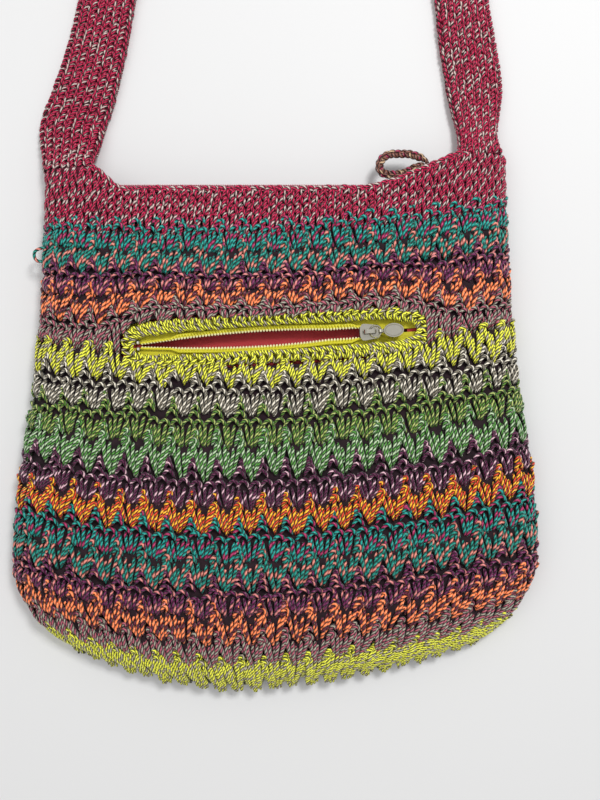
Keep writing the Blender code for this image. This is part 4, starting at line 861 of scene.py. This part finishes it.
def nylon_material(name, colour, painted_head_highlight):
    """Nylon filament of a zip's coil: glossy and unevenly dyed, with a painted highlight
    that makes the heads of its teeth pale.
    """
    material, shader = new_material(name, {"Roughness": 0.28, "IOR": 1.53})
    uv = add(material, "UVMap", uv_map="yarn")
    parts = add(material, "SeparateXYZ", {"Vector": uv})
    share = add(material, "Math", {0: parts.outputs["Y"]}, operation="FRACT")
    centred = add(material, "Math", {0: share, 1: 0.5}, operation="SUBTRACT")
    away = add(material, "Math", {0: centred}, operation="ABSOLUTE")
    # Painted highlight: the heads of the teeth are mixed towards a pale colour.
    head = add(material, "MapRange", {"Value": away, "From Min": 0.11, "From Max": 0.21,
                                      "To Min": 1.0, "To Max": 0.0})
    place = add(material, "TexCoord").outputs["Object"]
    noise = add(material, "TexNoise", {"Vector": place, "Scale": 1 / (2 * MM), "Detail": 2.0})
    tint = add(material, "MapRange", {"Value": noise, "To Min": 0.8, "To Max": 1.1})
    mixed = add(material, "Mix", {"Factor": head, "A": linear(colour), "B": linear(painted_head_highlight)},
                data_type="RGBA")
    shaded = add(material, "VectorMath", {0: mixed, "Scale": tint},
                 operation="SCALE")
    plug(material, shader, {"Base Color": shaded})
    return material


def coil(name, looks, centres, across, upright, half_width, half_height, filament, turns):
    """A zip's coil: a helix of one filament. At turn angle a its centre is the coil's own middle line, plus
    'across' times half_width cos a, plus 'upright' times half_height sin a. The cord that it is sewn round
    fills its base. 'looks' are the materials of the two."""
    steps = 14
    rings = turns * steps + 1
    at = np.linspace(0, len(centres) - 1, rings)
    index = np.arange(len(centres))

    def along(values):
        return np.column_stack([np.interp(at, index, column) for column in values.T])

    angle = np.linspace(0, 2 * math.pi * turns, rings)
    middle, side, up = along(centres), unit(along(across)), unit(along(upright))
    width = np.interp(at, index, np.broadcast_to(half_width, len(centres)))
    path = middle + side * (width * np.cos(angle))[:, None] + up * (half_height * np.sin(angle))[:, None]
    helix = tube_mesh(name, path[None], middle[None] - path[None], np.full((1, rings), filament / 2), 6,
                      run=angle[None] / (2 * math.pi))
    base = (middle + side * (0.6 * width)[:, None])[None, ::steps]
    core = tube_mesh(name + "_cord", base, up[None, ::steps],
                     np.full((1, turns + 1), half_height + 0.35 * filament), 8)
    for piece, material in zip((helix, core), looks):
        dress(piece, material, name.replace("_", "_zip_", 1))


def pocket_gap(x):
    """Half of the open gap between the pocket's rows of teeth: closed behind the slider and at the far end."""
    share = np.clip((x - POCKET_CHAIN_START) / (POCKET_NOSE - POCKET_CHAIN_START), 0, 1)
    lens = np.sin(math.pi * share ** 1.15) ** 0.8
    closed = 1 - ease(POCKET_NOSE, POCKET_SLIDER_X + POCKET_SLIDER_THROAT, x)
    return np.maximum(POCKET_OPEN_HALF * lens, POCKET_CLOSED_HALF * closed * ease(0.2, 0.9, share))


def pocket_coils(*looks):
    """Coils of the pocket's zip, which lie flat."""
    x = np.linspace(POCKET_CHAIN_START, POCKET_CHAIN_END, 2 * POCKET_TURNS + 1)
    near = 1 - ease(6 * MM, 10 * MM, np.abs(x - POCKET_SLIDER_X))
    ends = 1 - ease(15 * MM, 20 * MM, x - POCKET_CHAIN_START)
    half_width = POCKET_COIL_HALF_WIDTH - POCKET_COIL_NARROWING * np.maximum(near, ends)
    for name, side in (("upper", 1), ("lower", -1)):
        y = side * (pocket_gap(x) + 0.2 * MM + half_width + POCKET_FILAMENT / 2)
        centres = from_pocket(np.column_stack([x, y, np.full_like(x, POCKET_COIL_Z)]))
        across = np.tile(from_pocket(np.array([0, side, 0.0])) - from_pocket(np.zeros(3)), (len(x), 1))
        upright = np.tile([0, 0, 1.0], (len(x), 1))
        coil(f"pocket_{name}_coil", looks, centres, across, upright, half_width,
             POCKET_COIL_HALF_HEIGHT, POCKET_FILAMENT, POCKET_TURNS)


def mouth_spread(x):
    """How far from the mouth's middle the top zip's teeth lie: the mouth's section is a square oval."""
    share = np.sin(np.linspace(-math.pi / 2, math.pi / 2, 13))
    bulge = np.sqrt(1 - np.abs(share) ** MOUTH_SQUARENESS)
    return MOUTH_ROOM * np.interp(np.abs(x) / MOUTH_HALF_WIDTH, share, bulge) - 0.85 * MM


def top_coils(*looks):
    """Coils of the top zip: they stand against the mouth's walls, and turn until they face each other."""
    x = np.linspace(-TOP_CHAIN_HALF_LENGTH, TOP_CHAIN_HALF_LENGTH, 301)
    turned = ease(TOP_NOSE - 26 * MM, TOP_NOSE - 2 * MM, x)
    quarter = turned * math.pi / 2
    for name, side in (("front", 1), ("back", -1)):
        head = np.stack([np.zeros_like(x), np.cos(quarter), -side * np.sin(quarter)], axis=1)
        upright = np.stack([np.zeros_like(x), np.sin(quarter), side * np.cos(quarter)], axis=1)
        throat = 1.3 * MM * (1 - ease(TOP_NOSE, TOP_SLIDER_X, x))
        spread = mouth_spread(x)
        root_z = MOUTH_MIDDLE + side * (spread + turned * (throat + 1.9 * MM - spread))
        root_y = TOP_CHAIN_Y - 0.55 * MM + turned * 0.55 * MM
        centres = np.column_stack([x, root_y, root_z]) + head * 0.62 * MM
        coil(f"top_{name}_coil", looks, centres, -head, upright, TOP_COIL_HALF_WIDTH,
             TOP_COIL_HALF_HEIGHT, TOP_FILAMENT, TOP_TURNS)


def cord_route():
    """Middle line of the slider's cord loop, from the end of its tab round to the left and back."""
    along = np.array([math.cos(TOP_TAB_ANGLE), math.sin(TOP_TAB_ANGLE), 0.0])
    across = np.array([-along[1], along[0], 0.0])
    end = np.array(TOP_TAB_HINGE) + TOP_TAB_LENGTH * along
    start, finish = end - across * CORD_END_SPREAD, end + across * CORD_END_SPREAD
    points = np.array([start, start + 1.5 * MM * along, *(end + np.array(CORD_LOOP)),
                       finish + 0.9 * MM * along, finish])
    places = lengths(points)
    at = np.linspace(0, places[-1], 121)
    return np.stack([shaped(points[:, i], places, at) for i in range(3)], axis=1), at


def braided_loop():
    """Cord braided from three yarns: each swings from side to side by a cosine of its place along the cord,
    and up and down twice as often, a third of a turn after the one before."""
    route, at = cord_route()
    forward = unit(np.gradient(route, axis=0))
    up = np.array([0, 0, 1.0])
    side = unit(np.cross(up, forward))
    from_end = np.minimum(at, at[-1] - at)
    full = 0.3 + 0.7 * ease(1 * MM, 6 * MM, from_end)
    strands, radii = [], []
    for k in range(3):
        phase = 2 * math.pi * (at / BRAID_LENGTH + k / 3)
        strands.append(route + side * (BRAID_SWING * full * np.cos(phase))[:, None]
                       + up * (BRAID_RISE * full * np.sin(2 * phase))[:, None])
        radii.append(BRAID_STRAND * (0.65 + 0.35 * full))
    piece = tube_mesh("braided_cord_loop", np.array(strands), np.tile(up, (3, len(at), 1)), np.array(radii), 8,
                      phase=np.array([0.1, 0.4, 0.8]))
    for name in ("braid_brown", "braid_crimson"):
        piece.data.materials.append(yarn(name))
    quads = 3 * (len(at) - 1) * 8
    slots = np.zeros(len(piece.data.polygons), np.int32)
    slots[2 * quads // 3:quads] = 1
    piece.data.polygons.foreach_set("material_index", slots)
    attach(piece, "top_pull")
    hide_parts("top_zip_cord_loop")
    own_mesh(piece)


def loose_loop():
    """Loop of teal yarn that has pulled out of its round at the bag's left edge."""
    path = curve_points(np.array([LOOSE_LOOP]) * MM, 30)
    piece = tube_mesh("loose_teal_loop", path, np.tile([0, 0, 1.0], path.shape[:2] + (1,)),
                      np.full(path.shape[:2], LOOSE_YARN_RADIUS), 8)
    dress(piece, yarn("teal_salmon"), "crochet_body")


def zips_and_linings():
    """Puts nickel on the metal parts, coils and woven tapes on the zips, and cloth on the linings."""
    nickel = nickel_material()
    for name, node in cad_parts.items():
        if name.endswith(("_slider", "_ring", "_pull", "_stop")):
            node.data.materials.clear()
            node.data.materials.append(nickel)
    # The second colour of each cloth is the painted shade in the hollows between its threads.
    yellow_tape = cloth_material("woven_tape_yellow", 0xF0E82C, 0xC6BC1C, 0.6 * MM)
    crimson_tape = cloth_material("woven_tape_crimson", 0xA82248, 0x5A0E26, 0.6 * MM)
    lining = cloth_material("woven_lining_crimson", 0xDC4444, 0xA42630, 0.5 * MM)
    # The second colour of each coil is the painted highlight on the heads of its teeth.
    pocket_coils(nylon_material("nylon_coil_yellow", 0xEAE22A, 0xFBF4C8), yellow_tape)
    top_coils(nylon_material("nylon_coil_crimson", 0xA82248, 0xE4B8BC), crimson_tape)
    for side in ("upper", "lower"):
        node = f"pocket_zip_{side}_tape"
        dress(copy_of_node(f"pocket_{side}_tape", node, 0.0), yellow_tape, node)
    for side in ("front", "back"):
        node = f"top_zip_{side}_tape"
        dress(copy_of_node(f"top_{side}_tape", node, TAPE_INSET), crimson_tape, node)
    for node in ("main_lining", "pocket_lining"):
        piece = copy_of_node(node + "_cloth", node, 0.0)
        dress(piece, lining, node)


def main():
    body_rows()
    loose_loop()
    ground = copy_of_node("crochet_ground", "crochet_body", CROCHET_INSET)
    dress(ground, painted_shade_ground_material(), "crochet_body")
    strap_pieces()
    strap_ground = copy_of_node("strap_ground", "shoulder_strap", STRAP_INSET)
    dress(strap_ground, painted_shade_ground_material(), "shoulder_strap")
    edging_pieces()
    zips_and_linings()
    braided_loop()
    studio()


def studio():
    """A pale table, a soft key light from the upper right, a wide fill, and the camera straight above."""
    scene = bpy.context.scene
    scene.view_settings.view_transform = "Standard"
    table = bpy.data.meshes.new("table")
    corners = [(x * TABLE_HALF_SIDE, y * TABLE_HALF_SIDE, 0) for x, y in ((-1, -1), (1, -1), (1, 1), (-1, 1))]
    table.from_pydata(corners, [], [(0, 1, 2, 3)])
    material, _ = new_material("matt_white_table", {"Base Color": linear(0xE6E6E6), "Roughness": 0.6})
    table.materials.append(material)
    put("table", table)
    world = bpy.data.worlds.new("studio")
    world.use_nodes = True
    scene.world = world
    background = world.node_tree.nodes["Background"].inputs
    background["Color"].default_value = linear(0xF4F4F4)
    background["Strength"].default_value = WORLD_STRENGTH
    for name, place, width, watts in LIGHTS:
        light = bpy.data.lights.new(name, "AREA")
        light.energy = watts
        light.size = width
        lamp = put(name, light)
        lamp.location = place
        lamp.rotation_euler = (-Vector(place)).to_track_quat("-Z", "Y").to_euler()
    camera = bpy.data.cameras.new("camera")
    camera.sensor_fit = "VERTICAL"
    camera.sensor_height = 36
    camera.lens = CAMERA_LENS
    scene.camera = put("camera", camera)
    scene.camera.location = CAMERA_PLACE


main()
